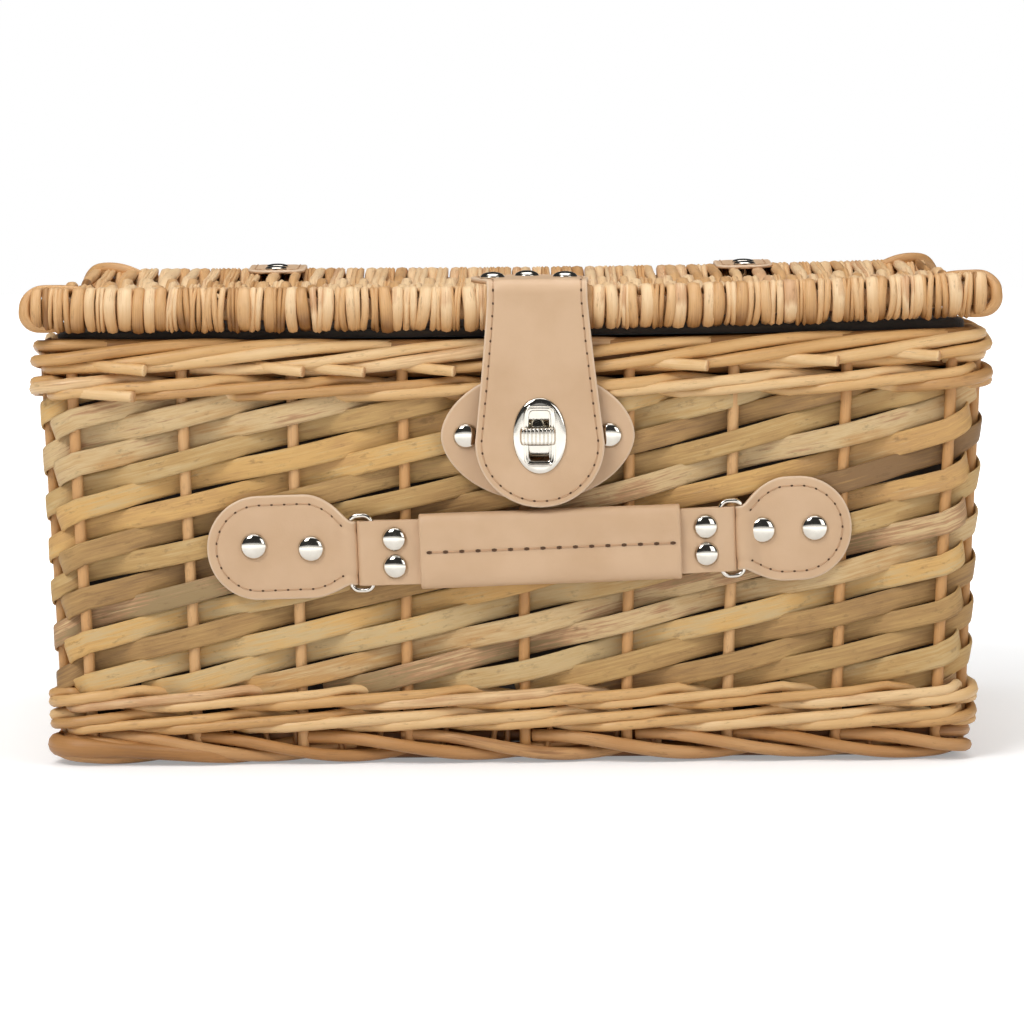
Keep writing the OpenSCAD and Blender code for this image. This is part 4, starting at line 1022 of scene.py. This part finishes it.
RING_LINE = {-1: GRIP_HALF + REACH[-1], 1: GRIP_HALF + REACH[1]}
PATCH_R, PATCH_NECK = 22.0, 13.4      # half widths of the round end and of the neck
PATCH_RISE = {-1: 3.6, 1: 3.0}       # the round ends sit higher than the rings
PATCH_STITCH_IN = 3.9
PATCH_LENGTH = {-1: 62.8, 1: 48.4}   # from the ring's outer line to the round end
SIDES = ((-1, "left"), (1, "right"))
for side, side_name in SIDES:
    length = PATCH_LENGTH[side]
    # the neck: from under the patch, round the wire, over it and down to the wall
    turn = np.radians(np.linspace(-90, -270, 15))
    under_leaf = np.stack([np.linspace(9.0, 0.5, 8), np.full(8, RING_OUT - WIRE_LOOP_R)], -1)
    loop = np.stack([WIRE_LOOP_R * np.cos(turn), RING_OUT + WIRE_LOOP_R * np.sin(turn)], -1)
    share = np.linspace(0, 1, 14)[1:]
    slope = np.stack([0.3 + 8.2 * share, RING_OUT + WIRE_LOOP_R - 3.32 * ease(share)], -1)
    flat = np.stack([np.linspace(9.5, length - 2.6, 20), np.full(20, RING_OUT - 1.2)], -1)
    line, whole = bent(np.concatenate([under_leaf, loop, slope, flat]))
    lead = whole - (length - 2.6)      # the part of the line before the ring's own line

    def place_patch(v, u, h, line=line, side=side):
        """The patch's frame: v across it, u along its bending line, h out from its back."""
        x, out = line(np.asarray(u, float) + 0 * np.asarray(v, float), h - 0.5 * LEATHER_T)
        sag = 0.25 * np.sin(np.asarray(u) / 9.0 + side) * np.clip(np.abs(np.asarray(v)) / 22.0, 0, 1)
        aside = np.clip((x + 2) / 24.0, 0, 1)
        y = PATCH_RISE[side] * aside * (2 - aside) - side * v
        return on_handle(side * (RING_LINE[side] + x), y, out + sag)

    along, straight, angle = round_rows(0.0, whole, PATCH_R, 1.2)
    swell = np.sin(0.5 * math.pi * np.clip((along[:straight] - lead + 0.5) / 19.0, 0, 1))
    half = np.concatenate([PATCH_NECK + (PATCH_R - PATCH_NECK) * swell, PATCH_R * np.cos(angle)])
    piece = hide(f"patch_{side_name}_leather", along, half, place_patch, LEATHER_T, stitch_in=PATCH_STITCH_IN)
    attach(piece, "basket")
    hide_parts(f"patch_{side_name}")
    seam = inset(along, half, PATCH_STITCH_IN)
    seam = seam[seam[:, 1] > lead + 1.0]
    for bit in sew(f"patch_{side_name}", seam, place_patch, LEATHER_T - 0.03, closed=False):
        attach(bit, "basket")


# ---- Rivets ----
# Domed caps of polished nickel on shanks that pass through the leather and the weave and
# are clenched over behind. The caps are 10 to 11 mm across.
def nickel(name, colour, light, rough=0.07):
    """Polished nickel plate: nearly a mirror, with a faint uneven polish."""
    mat, node, skin = finish(name, rough, metal=1.0)
    where = node("ShaderNodeTexCoord").outputs["Object"]
    wipe = node("ShaderNodeTexNoise", Vector=where, Scale=300.0, Detail=4.0).outputs[0]
    fill(skin.inputs["Roughness"], ramp(node, wipe, [(0.35, rough * 0.7), (0.75, rough * 2.0)]))
    fill(skin.inputs["Base Color"], between(node, wipe, shade(colour), shade(light)))
    emboss(node, skin, wipe, 0.05, 0.0002)
    return mat


polished_nickel = nickel("polished_nickel", "c2bcb1", "dad5cb")


def turned(profile, centre, up, sides=40):
    """A turned shape: a profile of (radius, height) pairs carried round the axis `up`."""
    profile = np.asarray(profile, float)
    up = unit(up)
    aside = unit(np.cross(up, [1.0, 0.0, 0.0] if abs(up[0]) < 0.9 else [0.0, 1.0, 0.0]))
    other = np.cross(up, aside)
    angle = np.linspace(0, 2 * math.pi, sides, endpoint=False)
    ring = np.cos(angle)[:, None] * aside + np.sin(angle)[:, None] * other
    return centre + profile[:, None, :1] * ring[None] + profile[:, None, 1:] * up


def grids(name, shapes, material):
    """One mesh of several closed-round grids, joined at their poles and turned outwards."""
    points, faces, start = [], [], 0
    for shape in shapes:
        faces.append(start + cells(*shape.shape[:2]))
        points.append(shape.reshape(-1, 3))
        start += len(points[-1])
    mesh = bpy.data.meshes.new(name)
    mesh.from_pydata((np.concatenate(points) * 0.001).tolist(), [], np.concatenate(faces).tolist())
    piece = stand(name, mesh, material)
    merge(piece, 2e-6)
    return piece


def rivet_shape(place, u, v, height, cap_r, grip, dome=2.6):
    """A rivet at (u, v): a worn dome with a small rolled lip, a shank and a clenched disc."""
    foot = place(u, v, height)
    up = place(u, v, height + 1.0) - foot
    a = np.radians(np.linspace(90, 8, 15))
    cap = np.stack([(cap_r - 0.25) * np.cos(a), 0.55 + (dome - 0.55) * np.sin(a)], -1)
    cap[0, 0] = 0.0
    rest = [(cap_r - 0.02, 0.62), (cap_r, 0.35), (cap_r - 0.12, 0.08), (cap_r - 0.6, 0.0), (1.4, 0.0),
            (1.4, -grip), (3.9, -grip), (4.0, -grip - 0.4), (3.8, -grip - 0.9), (0.0, -grip - 0.9)]
    return turned(np.concatenate([cap, rest]), foot, up)


PATCH_RIVETS = {-1: ((16.5, 2.6), (40.5, 4.6)), 1: ((8.2, 3.0), (30.2, 3.0))}
for side, side_name in SIDES:
    shapes = [rivet_shape(on_handle, side * (RING_LINE[side] + x), y, 6.75, 5.6, 10.3)
              for x, y in PATCH_RIVETS[side]]
    piece = grids(f"patch_rivet_caps_{side_name}", shapes, polished_nickel)
    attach(piece, "basket")
    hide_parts(f"patch_rivets_{side_name}")


# ---- Lock pad ----
# An oval of plain leather under the lock. It leans from the bands at its foot to the waling
# at its head, and two rivets hold it beside the strap.
STRAP_X = 11.0                     # the lock, the pad and the strap sit right of the middle
PAD_V = 140.11
PAD_LEAN = math.radians(4.86)
PAD_T = 1.8
PAD_HALF_W, PAD_HALF_H = 40.6, 28.0
PAD_RIVET_AT = 30.0


def place_pad(u, v, h):
    """The pad's frame: along the wall, up its own slope, and out from its back. Its foot curves
    out with the square of the distance below the middle."""
    v, h = np.asarray(v, float), np.asarray(h, float)
    return on_front(STRAP_X + u, PAD_V + v * math.cos(PAD_LEAN) - h * math.sin(PAD_LEAN),
                    5.8 + v * math.sin(PAD_LEAN) + 0.0013 * np.minimum(v, 0) ** 2 + h * math.cos(PAD_LEAN))


angle = np.radians(np.linspace(-90, 90, 61))
piece = hide("lock_pad_leather", PAD_HALF_W * np.sin(angle), PAD_HALF_H * np.abs(np.cos(angle)) ** 1.12,
             lambda v, u, h: place_pad(u, -v, h), PAD_T)
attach(piece, "basket")
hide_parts("lock_pad")
shapes = [rivet_shape(place_pad, side * PAD_RIVET_AT, 0.0, PAD_T, 5.4, 10.0) for side in (-1, 1)]
piece = grids("pad_rivet_caps", shapes, polished_nickel)
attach(piece, "basket")
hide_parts("pad_rivets")


# ---- Strap ----
# One length of leather: riveted to the top of the lid, folded over its front edge, and
# widening to a round end that hangs over the pad. It is stitched all round and carries the
# lock's oval plate. It bends at the fold when the lock is undone.
STRAP_T = 2.4
TOP_MID = 203.8                    # height of the leather's middle on the lid
DROP_MID = -147.6                  # its depth where it hangs, from the basket's middle


def drop_y(y):
    """A depth in the scene, of one that is measured from the basket's middle."""
    return y + MIDDLE_Y


corner_r = 5.0
turn = np.radians(np.linspace(90, 180, 12))
fold_line = np.stack([drop_y(DROP_MID + corner_r) + corner_r * np.cos(turn),
                      TOP_MID - corner_r + corner_r * np.sin(turn)], -1)
top_line = np.stack([drop_y(np.linspace(-86.0, DROP_MID + corner_r + 0.5, 24)), np.full(24, TOP_MID)], -1)
drop_line = np.stack([np.full(40, drop_y(DROP_MID)), np.linspace(TOP_MID - corner_r - 0.5, 110.0, 40)], -1)
strap_line, strap_len = bent(np.concatenate([top_line, fold_line, drop_line]))
STRAP_TILT = math.radians(0.7)


def place_strap(u, s, h):
    """The strap's frame: u across, s from its end on the lid, and h outwards from its back.
    The bending line keeps its left side outside, and the hanging part tilts a little."""
    y, z = strap_line(s, -(h - 0.5 * STRAP_T))
    u = np.asarray(u, float)
    hang = np.clip((204.0 - z) / 90.0, 0, 1)
    curl = 0.25 * np.sin(np.asarray(s) / 17.0) * (np.abs(u) / 27.0) ** 2
    askew = 4.0 * np.clip((50.0 - s) / 34.0, 0, 1)
    return np.stack([STRAP_X + u + hang * 90.0 * math.sin(STRAP_TILT) - askew, y - curl * hang, z], -1)


# half widths along the strap: a round end on the lid, which eases in to a neck at the fold
# with a smooth step, and a flare to a round end at the bottom
NECK, STRAP_END_R, ANCHOR_R = 20.9, 27.0, 24.5
STRAP_STITCH_IN = 2.6
angle = np.radians(np.linspace(-90, 0, 26))
anchor_s, anchor_half = ANCHOR_R + ANCHOR_R * np.sin(angle), ANCHOR_R * np.cos(angle)
lower_s, straight, angle = round_rows(ANCHOR_R + 1.2, strap_len, STRAP_END_R, 1.2)
FLARE_FROM = 66.0
ease_in = ease((lower_s[:straight] - ANCHOR_R) / 33.0)
flare = np.clip((lower_s[:straight] - FLARE_FROM) / (strap_len - STRAP_END_R - FLARE_FROM), 0, 1)
straight_half = ANCHOR_R + (NECK - ANCHOR_R) * ease_in + (STRAP_END_R - NECK) * flare ** 1.15
along = np.concatenate([anchor_s, lower_s])
half = np.concatenate([anchor_half, straight_half, STRAP_END_R * np.cos(angle)])
strap = hide("strap_leather", along, half, place_strap, STRAP_T, stitch_in=STRAP_STITCH_IN, plump=0.25,
             columns=45)


def cut_through(piece, outline, place, low, high):
    """Cuts a hole: a prism between two heights over the outline is taken from the piece."""
    prism = np.array([place(outline[:, 0], outline[:, 1], np.full(len(outline), h))
                      for h in (low, low, high, high)])
    for k in (0, 3):
        prism[k] = prism[k].mean(0)
    tool = sheet_grid("hole_shape", prism, beige_leather, close_round=True)
    merge(tool)
    step = piece.modifiers.new("hole", "BOOLEAN")
    step.operation = "DIFFERENCE"
    step.solver = "EXACT"
    step.object = tool
    shape = bpy.data.meshes.new_from_object(piece.evaluated_get(bpy.context.evaluated_depsgraph_get()))
    piece.modifiers.remove(step)
    shape.name = piece.data.name + "_cut"
    piece.data = shape
    bpy.data.objects.remove(tool)


slot_mid = strap_len - 30.0              # the lock's middle, along the strap
angle = np.linspace(0, 2 * math.pi, 48, endpoint=False)
slot_ring = np.stack([5.0 * np.sign(np.cos(angle)) * np.abs(np.cos(angle)) ** 0.3,
                      slot_mid + 10.9 * np.sign(np.sin(angle)) * np.abs(np.sin(angle)) ** 0.3], -1)
cut_through(strap, slot_ring, place_strap, -2.0, 5.0)
strap_stitches = sew("strap", inset(along, half, STRAP_STITCH_IN), place_strap, STRAP_T - 0.03)
for bit in (strap, *strap_stitches):
    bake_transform(bit)
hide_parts("strap_anchor", "strap_tongue")


def on_lid(u, v, h):
    """A place over the lid, h above the strap's face there: u across from the strap's middle,
    v in depth from the basket's middle."""
    top = TOP_MID + 0.5 * STRAP_T + lid_rise(STRAP_X + u, drop_y(v))
    return np.array([STRAP_X + u, drop_y(v), top + h])


RIVET_R = 5.2
THROUGH_LID = 14.9                 # from the strap's face to the clenched discs under the lid
shapes = [rivet_shape(on_lid, u, v, 0.1, RIVET_R, THROUGH_LID)
          for u, v in ((-18.5, -127.0), (12.0, -126.0), (-4.0, -108.5))]
piece = grids("anchor_rivet_caps", shapes, polished_nickel)
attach(piece, "lid")
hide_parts("anchor_rivets")


# ---- Turn lock ----
# A polished oval plate on the strap with a raised frame round its slot. The bush behind
# carries a ribbed bar, which turns across the slot to hold the strap.
LOCK_Z = 140.0
PLATE_Y = drop_y(-148.85)
LOCK_X = STRAP_X + 0.8


def oval_ring(wide, tall, angle, power=2.0):
    """An oval or a rounded rectangle: powers of the cosine and sine, 2 for an ellipse."""
    return np.stack([0.5 * wide * np.sign(np.cos(angle)) * np.abs(np.cos(angle)) ** (2 / power),
                     0.5 * tall * np.sign(np.sin(angle)) * np.abs(np.sin(angle)) ** (2 / power)], -1)


def plate_rings(rows, angle, front_y, x, z):
    """Rings of (wide, tall, power, forward) about the lock's middle, as the rows of a grid."""
    rings = [oval_ring(wide, tall, angle, power) for wide, tall, power, _ in rows]
    return np.array([np.stack([x + ring[:, 0], np.full(len(ring), front_y - row[3]), z + ring[:, 1]], -1)
                     for ring, row in zip(rings, rows)])


angle = np.linspace(0, 2 * math.pi, 96, endpoint=False)
# from the slot outwards over the back, round the oval edge, up the slope and over the frame
plate_rows = [(9.3, 21.1, 7.0, 0.0), (22.0, 31.6, 2.05, 0.0), (22.4, 32.0, 2.05, 0.3),
              (22.2, 31.8, 2.05, 0.75), (21.4, 31.0, 2.05, 1.15), (20.0, 29.6, 2.1, 1.42),
              (18.0, 28.0, 2.3, 1.55), (15.6, 26.4, 3.0, 1.6), (13.7, 25.2, 5.0, 1.62),
              (13.3, 24.9, 6.0, 1.85), (12.9, 24.6, 7.0, 2.15), (12.2, 24.0, 7.0, 2.2),
              (11.5, 23.4, 7.0, 2.1), (11.2, 23.1, 7.0, 1.8), (10.8, 22.7, 7.0, 1.7),
              (10.1, 22.0, 7.0, 1.75), (9.5, 21.3, 7.0, 1.6), (9.2, 21.0, 7.0, 1.2),
              (9.2, 21.0, 7.0, 0.3), (9.3, 21.1, 7.0, 0.0)]
piece = grids("lock_plate_oval", [plate_rings(plate_rows, angle, PLATE_Y, LOCK_X, LOCK_Z)], polished_nickel)
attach(piece, "strap")
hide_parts("lock_plate")


def knob_face(half_w, half_h, deep, ribs, rib_deep=0.7):
    """The bar's face: a rounded rectangle whose height falls off at its ends and edges as roots
    of one minus a power, with round ribs across it that are powers of a cosine."""
    a, b = np.meshgrid(np.linspace(-1, 1, 91), np.linspace(-1, 1, 25), indexing="ij")
    edge_a = np.sqrt(np.clip(1 - np.abs(a) ** 6, 0, 1))
    edge_b = np.sqrt(np.clip(1 - np.abs(b) ** 4, 0, 1))
    crown = deep * (0.62 + 0.38 * edge_b) * edge_a * np.minimum(edge_b + 0.25, 1.0)
    rib = rib_deep * np.abs(np.cos(math.pi * ribs * 0.5 * a)) ** 0.7 * edge_a * edge_b ** 0.5
    x = half_w * a * (1 - 0.10 * np.abs(b) ** 4)
    return np.stack([x, -(crown * 0.9 + rib), half_h * b * (1 - 0.06 * np.abs(a) ** 6)], -1)


# the face's grid, its outline again on the back's plane, the sides between them, and the back
KNOB_BACK = -151.5
front = knob_face(half_w=7.6, half_h=3.9, deep=2.5, ribs=9)
rows, columns = front.shape[:2]
outline = np.concatenate([np.arange(columns), np.arange(1, rows) * columns + columns - 1,
                          (rows - 1) * columns + np.arange(columns - 2, -1, -1),
                          np.arange(rows - 2, 0, -1) * columns])
back = front.reshape(-1, 3)[outline] * [1, 0, 1]
i, j = np.meshgrid(np.arange(rows - 1), np.arange(columns - 1), indexing="ij")
faces = np.stack([i * columns + j, (i + 1) * columns + j, (i + 1) * columns + j + 1, i * columns + j + 1], -1)
behind = rows * columns + np.arange(len(outline))
sides = np.stack([outline, np.roll(outline, -1), np.roll(behind, -1), behind], -1)
faces = faces.reshape(-1, 4).tolist() + sides.tolist() + [behind.tolist()]
knob_points = np.concatenate([front.reshape(-1, 3), back]) + [STRAP_X, drop_y(KNOB_BACK), LOCK_Z]
mesh = bpy.data.meshes.new("turn_bar_knob")
mesh.from_pydata((knob_points * 0.001).tolist(), [], faces)
piece = stand("turn_bar_knob", mesh, polished_nickel)
merge(piece)
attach(piece, "turn_button")
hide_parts("turn_bar")


# ---- Rings ----
# Bent wire rings with round corners, about 30 mm high inside. Each turns in its patch's
# loop and slides in its tab's pocket.
WIRE_R = 1.1
RING_WIDE, RING_TALL, RING_BEND = 9.2, 15.85, 3.4   # to the wire's middle: whole, half, corner


def ring_wire():
    """The wire's closed path, flat: a rectangle with a quarter circle at each corner."""
    corners = [(0, -RING_TALL, 180), (RING_WIDE, -RING_TALL, 270), (RING_WIDE, RING_TALL, 0),
               (0, RING_TALL, 90)]
    line = []
    for x, y, start in corners:
        angle = np.radians(np.linspace(start, start + 90, 9))
        bend_x = x + (RING_BEND if x == 0 else -RING_BEND)
        bend_y = y + (RING_BEND if y < 0 else -RING_BEND)
        line.append(np.stack([bend_x + RING_BEND * np.cos(angle), bend_y + RING_BEND * np.sin(angle)], -1))
    return np.concatenate(line)


for side, side_name in SIDES:
    line = ring_wire()
    tilt = math.atan2(GRIP_OUT - RING_OUT, REACH[side])
    x = side * (RING_LINE[side] - line[:, 0] * math.cos(tilt))
    centre = on_handle(x, line[:, 1], RING_OUT + line[:, 0] * math.sin(tilt))
    step = unit(np.roll(centre, -1, 0) - np.roll(centre, 1, 0))
    flat_up = unit(np.cross(centre[3] - centre[0], centre[12] - centre[0]))
    aside = np.cross(flat_up, step)
    angle = np.linspace(0, 2 * math.pi, 14, endpoint=False)
    tube = (centre[:, None] + WIRE_R * np.cos(angle)[None, :, None] * flat_up
            + WIRE_R * np.sin(angle)[None, :, None] * aside[:, None])
    piece = grids(f"ring_{side_name}_wire", [np.concatenate([tube, tube[:1]])], polished_nickel)
    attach(piece, f"{side_name}_ring")
    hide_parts(f"ring_{side_name}")


# ---- Grip ----
# A leather sleeve, sewn along the middle of its face round a stiff core. Its two ends are
# cut square and the tabs go into them.
SLEEVE_HALF, SLEEVE_OUT = 15.75, 5.0
angle = np.linspace(0, 2 * math.pi, 97)[:-1]
section_y = SLEEVE_HALF * np.sign(np.cos(angle)) * np.abs(np.cos(angle)) ** (2 / 5.0)
section_out = SLEEVE_OUT * np.sign(np.sin(angle)) * np.abs(np.sin(angle)) ** (2 / 3.2)
face = section_out > 0
groove = np.where(face, 0.55 * np.exp(-(section_y / 0.8) ** 2), 0.0)
plump_out = np.where(face, 0.35 * (1 - (np.abs(section_y) / SLEEVE_HALF - 0.5) ** 2 * 4), 0.0)
# places along the sleeve, and the share of its full section there: its ends are a little hollow
end_rows = [(inwards - GRIP_HALF, scale) for inwards, scale in
            ((0.9, 0.0), (0.9, 0.72), (0.2, 0.80), (0.0, 0.86), (0.05, 0.97), (0.5, 1.0))]
rows = end_rows + [(x, 1.0) for x in np.linspace(-GRIP_HALF + 2.0, GRIP_HALF - 2.0, 60)]
rows += [(-x, scale) for x, scale in end_rows[::-1]]
points = []
for x, scale in rows:
    y = section_y * scale * (1 + 0.004 * math.sin(x / 9.0))
    out = (section_out + (plump_out - groove) * (scale >= 0.99)) * scale
    wave = 0.054 * math.sin(x / 13.0) + 0.036 * math.sin(x / 5.0 + 1)
    points.append(on_handle(np.full(len(y), x), y, GRIP_OUT + out + wave * face))
grip = sheet_grid("grip_leather", np.array(points), beige_leather, close_round=True)
# the grip gets no painted edge highlight
mark_edge_highlight(grip, np.repeat([0.45 if abs(x) > GRIP_HALF - 1.0 else 1.0 for x, _ in rows], len(angle)))
merge(grip)
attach(grip, "handle")
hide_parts("grip_sleeve", "grip_core")
seam = np.stack([np.linspace(-GRIP_HALF + 4.0, GRIP_HALF - 3.5, 30), np.zeros(30)], -1)
for bit in sew("grip", seam, lambda u, v, h: on_handle(u, v, GRIP_OUT + h), SLEEVE_OUT - 0.25, pitch=6.85,
               closed=False, hole=(1.35, 0.72), thread_r=0.3):
    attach(bit, "handle")


# ---- Tabs ----
# A folded strip of leather joins each end of the grip to its ring. The wire lies in the
# fold, and two rivets clamp the layers between the wire and the grip.
TAB_HALF, PLY_R = 13.6, 0.85       # half the tab's width, and half a layer's thickness
POCKET_R = 1.77                    # the fold's bend, at the layer's middle
for side, side_name in SIDES:
    tilt = math.atan2(GRIP_OUT - RING_OUT, REACH[side])
    wire_at = math.hypot(REACH[side], GRIP_OUT - RING_OUT) - RING_WIDE
    tip = wire_at + 3.6

    def place_tab(x, y, out, side=side, tilt=tilt):
        """The tab's frame: x from the grip's end to the ring, y across, out from its middle."""
        x, out = np.asarray(x, float), np.asarray(out, float)
        return on_handle(side * (GRIP_HALF + x * math.cos(tilt) + out * math.sin(tilt)), y,
                         GRIP_OUT - x * math.sin(tilt) + out * math.cos(tilt))

    x = np.linspace(-2.0, tip - 0.1, 26)
    gap = 1.05 + (POCKET_R - 1.05) * ease((x - 13.0) / (wire_at - 14.5))
    turn = np.radians(np.linspace(80, -80, 11))
    line_x = np.concatenate([x, tip + POCKET_R * np.cos(turn), x[::-1]])
    line_out = np.concatenate([gap, POCKET_R * np.sin(turn), -gap[::-1]])
    centre = place_tab(line_x, 0.0, line_out)
    step = unit(np.gradient(np.stack([line_x, line_out], -1), axis=0))
    out = place_tab(line_x - step[:, 1], 0.0, line_out + step[:, 0]) - centre
    strip = carry(centre, out, PLY_R, TAB_HALF, sides=40, square=14.0, tone=0.5)
    piece = weave(f"tab_{side_name}_leather", [strip], beige_leather)
    # the tab gets no painted edge highlight
    mark_edge_highlight(piece, np.ones(len(piece.data.vertices)))
    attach(piece, f"{side_name}_tab")
    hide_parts(f"tab_{side_name}")
    shapes = [rivet_shape(place_tab, 10.4, y, 2.0, RIVET_R, 4.0) for y in (-5.8, 5.8)]
    piece = grids(f"tab_rivet_caps_{side_name}", shapes, polished_nickel)
    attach(piece, f"{side_name}_tab")
    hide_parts(f"tab_rivets_{side_name}")


# ---- Hinges ----
# Two strips of leather at the back, each riveted to the wall and over the top of the lid.
HINGE_X = 111.0
HINGE_T = 1.8
HINGE_STITCH_IN = 3.2
# the bending line in depth and height: up the wall, over the rim, up behind the lid, on to it
back_low, back_high = wall(np.full(2, 0.5 * ROUND), np.array([136.4, 177.0]), 8.75)[0]
climb = np.linspace(0, 1, 24)[:, None]
wall_part = back_low[1:] * (1 - climb) + back_high[1:] * climb
lid_back_y = drop_y(145.45)
bridge = np.array([[back_high[1] - 0.2, 179.6], [lid_back_y + 0.5, 182.3], [lid_back_y + 0.1, 185.0]])
riser = np.stack([np.full(8, lid_back_y), np.linspace(187.0, 197.6, 8)], -1)
turn = np.radians(np.linspace(0, 90, 10))
bend_top = np.stack([lid_back_y - 5.5 + 5.5 * np.cos(turn), 198.3 + 5.5 * np.sin(turn)], -1)
lid_part = np.stack([np.linspace(lid_back_y - 6.2, drop_y(102.0), 20), np.full(20, TOP_MID)], -1)
hinge_line, hinge_len = bent(np.concatenate([wall_part, bridge, riser, bend_top, lid_part]))
for side, side_name in SIDES:

    def place_hinge(u, s, h, side=side):
        """The hinge's frame: u across, s from its foot on the wall, h outwards. On the lid it
        follows the warp and sinks between the strands."""
        y, z = hinge_line(s, -(h - 1.2))
        x = side * HINGE_X + np.asarray(u, float) + 0 * y
        sink = 0.8 * np.clip((z - 190.0) / 10.0, 0, 1) + 1.6 * np.clip((drop_y(136.0) - y) / 30.0, 0, 1)
        return np.stack([x, y, z - sink + lid_rise(x, y) * np.clip((z - 185.0) / 12.0, 0, 1)], -1)

    end_r = 13.4
    upper_s, straight, angle = round_rows(end_r + 1.2, hinge_len, end_r, 1.2)
    along = np.concatenate([end_r - end_r * np.cos(angle), upper_s])
    half = np.concatenate([end_r * np.sin(angle), np.full(straight, end_r), end_r * np.cos(angle)])
    piece = hide(f"hinge_{side_name}_leather", along, half, place_hinge, HINGE_T, stitch_in=HINGE_STITCH_IN,
                 plump=0.1)
    bits = sew(f"hinge_{side_name}", inset(along, half, HINGE_STITCH_IN), place_hinge, HINGE_T - 0.03)
    for bit in (piece, *bits):
        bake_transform(bit)
    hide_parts(f"hinge_leaf_{side_name}", f"hinge_lid_{side_name}")


def on_back(u, v, h):
    """A place on the back wall: u from the middle, v up the wall, h out from the stakes."""
    points = on_front(u, v, h)
    return points * [1, -1, 1] + [0, 2 * MIDDLE_Y, 0]


shapes = [rivet_shape(on_back, side * HINGE_X, v, 9.35, RIVET_R, 16.7)
          for side in (-1, 1) for v in (161.35, 144.55)]
piece = grids("hinge_leaf_rivet_caps", shapes, polished_nickel)
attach(piece, "basket")
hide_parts("hinge_leaf_rivets")
shapes = [rivet_shape(on_lid, side * HINGE_X - STRAP_X, y, -low, RIVET_R, THROUGH_LID - low, dome=1.7)
          for side in (-1, 1) for y, low in ((123.5, 2.05), (110.5, 2.75))]
piece = grids("hinge_lid_rivet_caps", shapes, polished_nickel)
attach(piece, "lid")
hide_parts("hinge_lid_rivets")

# these pieces show only in slits, and their solids have the right shape, so they are plated as
# they are
for name in ("lock_base", "lock_washer", "turn_spindle"):
    kept = bpy.data.objects[name]
    kept.data.materials.clear()
    kept.data.materials.append(polished_nickel)


# ---- Studio ----
# A pale floor under a sky that is white for the camera, soft lamps at a plain level, and the
# camera at the photograph's place, a little above the lid and looking slightly down.
def studio_floor():
    """A floor that keeps the shadow. It is a pale surface, lifted for the camera and in
    reflections, and away from the object the lift grows until the floor is plain white."""
    mat = bpy.data.materials.new("studio_floor")
    mat.use_nodes = True
    node = kit(mat.node_tree)
    pale = node("ShaderNodeBsdfDiffuse", (0.80, 0.80, 0.80, 1))
    path = node("ShaderNodeLightPath").outputs
    seen = node("ShaderNodeMath", path["Is Camera Ray"], path["Is Glossy Ray"], operation="MAXIMUM")
    either = node("ShaderNodeMath", seen.outputs[0], path["Is Transmission Ray"], operation="MAXIMUM")
    where = node("ShaderNodeTexCoord")
    away = node("ShaderNodeVectorMath", where.outputs["Object"], operation="LENGTH")
    spread = node("ShaderNodeMapRange", away.outputs["Value"], interpolation_type="SMOOTHSTEP",
                  From_Min=0.30, From_Max=0.75, To_Min=0.30, To_Max=1.0)
    lift = node("ShaderNodeMath", either.outputs[0], spread.outputs["Result"], operation="MULTIPLY")
    glow = node("ShaderNodeEmission", None, lift.outputs[0])
    both = node("ShaderNodeAddShader", pale.outputs[0], glow.outputs[0])
    node("ShaderNodeOutputMaterial", both.outputs[0])
    return mat


floor_corners = np.array([[[-6000, -4000, 0], [6000, -4000, 0]], [[-6000, 5000, 0], [6000, 5000, 0]]], float)
floor = sheet_grid("floor", floor_corners, studio_floor())

# the sky: white for the camera, an even light for what is lit, and for reflections a dark
# band at the horizon with light below it and above
world = bpy.data.worlds.new("studio")
bpy.context.scene.world = world
world.use_nodes = True
node = kit(world.node_tree)
path = node("ShaderNodeLightPath").outputs
where = node("ShaderNodeTexCoord")
parts = node("ShaderNodeSeparateXYZ", where.outputs["Generated"])
dark = ramp(node, parts.outputs["Z"], [(0.0, 0.9), (0.05, 0.9), (0.11, 0.05), (0.80, 0.04), (0.92, 0.75)])
even_sky = node("ShaderNodeBackground", (1.0, 1.0, 1.0, 1), 0.36)
gloss_sky = node("ShaderNodeBackground", dark)
camera_sky = node("ShaderNodeBackground", (1, 1, 1, 1))
unseen = node("ShaderNodeMixShader", path["Is Glossy Ray"], even_sky.outputs[0], gloss_sky.outputs[0])
whole_sky = node("ShaderNodeMixShader", path["Is Camera Ray"], unseen.outputs[0], camera_sky.outputs[0])
node("ShaderNodeOutputWorld", whole_sky.outputs[0])


def lamp(name, place, target, size, power):
    """A soft square lamp that looks at the target."""
    light = bpy.data.lights.new(name, "AREA")
    light.size = size
    light.energy = power
    made = bpy.data.objects.new(name, light)
    made.location = place
    aim = np.array(target, float) - np.array(place, float)
    made.rotation_euler = Vector(aim).to_track_quat("-Z", "Y").to_euler()
    bpy.context.scene.collection.objects.link(made)
    return made


lamp("key", (-1.2, -1.8, 2.1), (0, 0, 0.1), 1.1, 43.0)
lamp("fill", (1.8, -1.7, 1.0), (0, 0, 0.1), 1.3, 13.0)
lamp("top", (0.0, 0.2, 2.2), (0, 0, 0.1), 1.6, 23.0)

eye = bpy.data.cameras.new("camera")
eye.lens = 154.9
eye.sensor_width = 36.0
eye.clip_start = 0.05
camera = bpy.data.objects.new("camera", eye)
look_down, roll = math.radians(5.08), math.radians(-0.4)
camera.matrix_world = (Matrix.Translation((0.0, -1.9765, 0.271))
                       @ Matrix.Rotation(0.5 * math.pi - look_down, 4, "X") @ Matrix.Rotation(roll, 4, "Z"))
bpy.context.scene.collection.objects.link(camera)
bpy.context.scene.camera = camera
bpy.context.scene.view_settings.view_transform = "Standard"
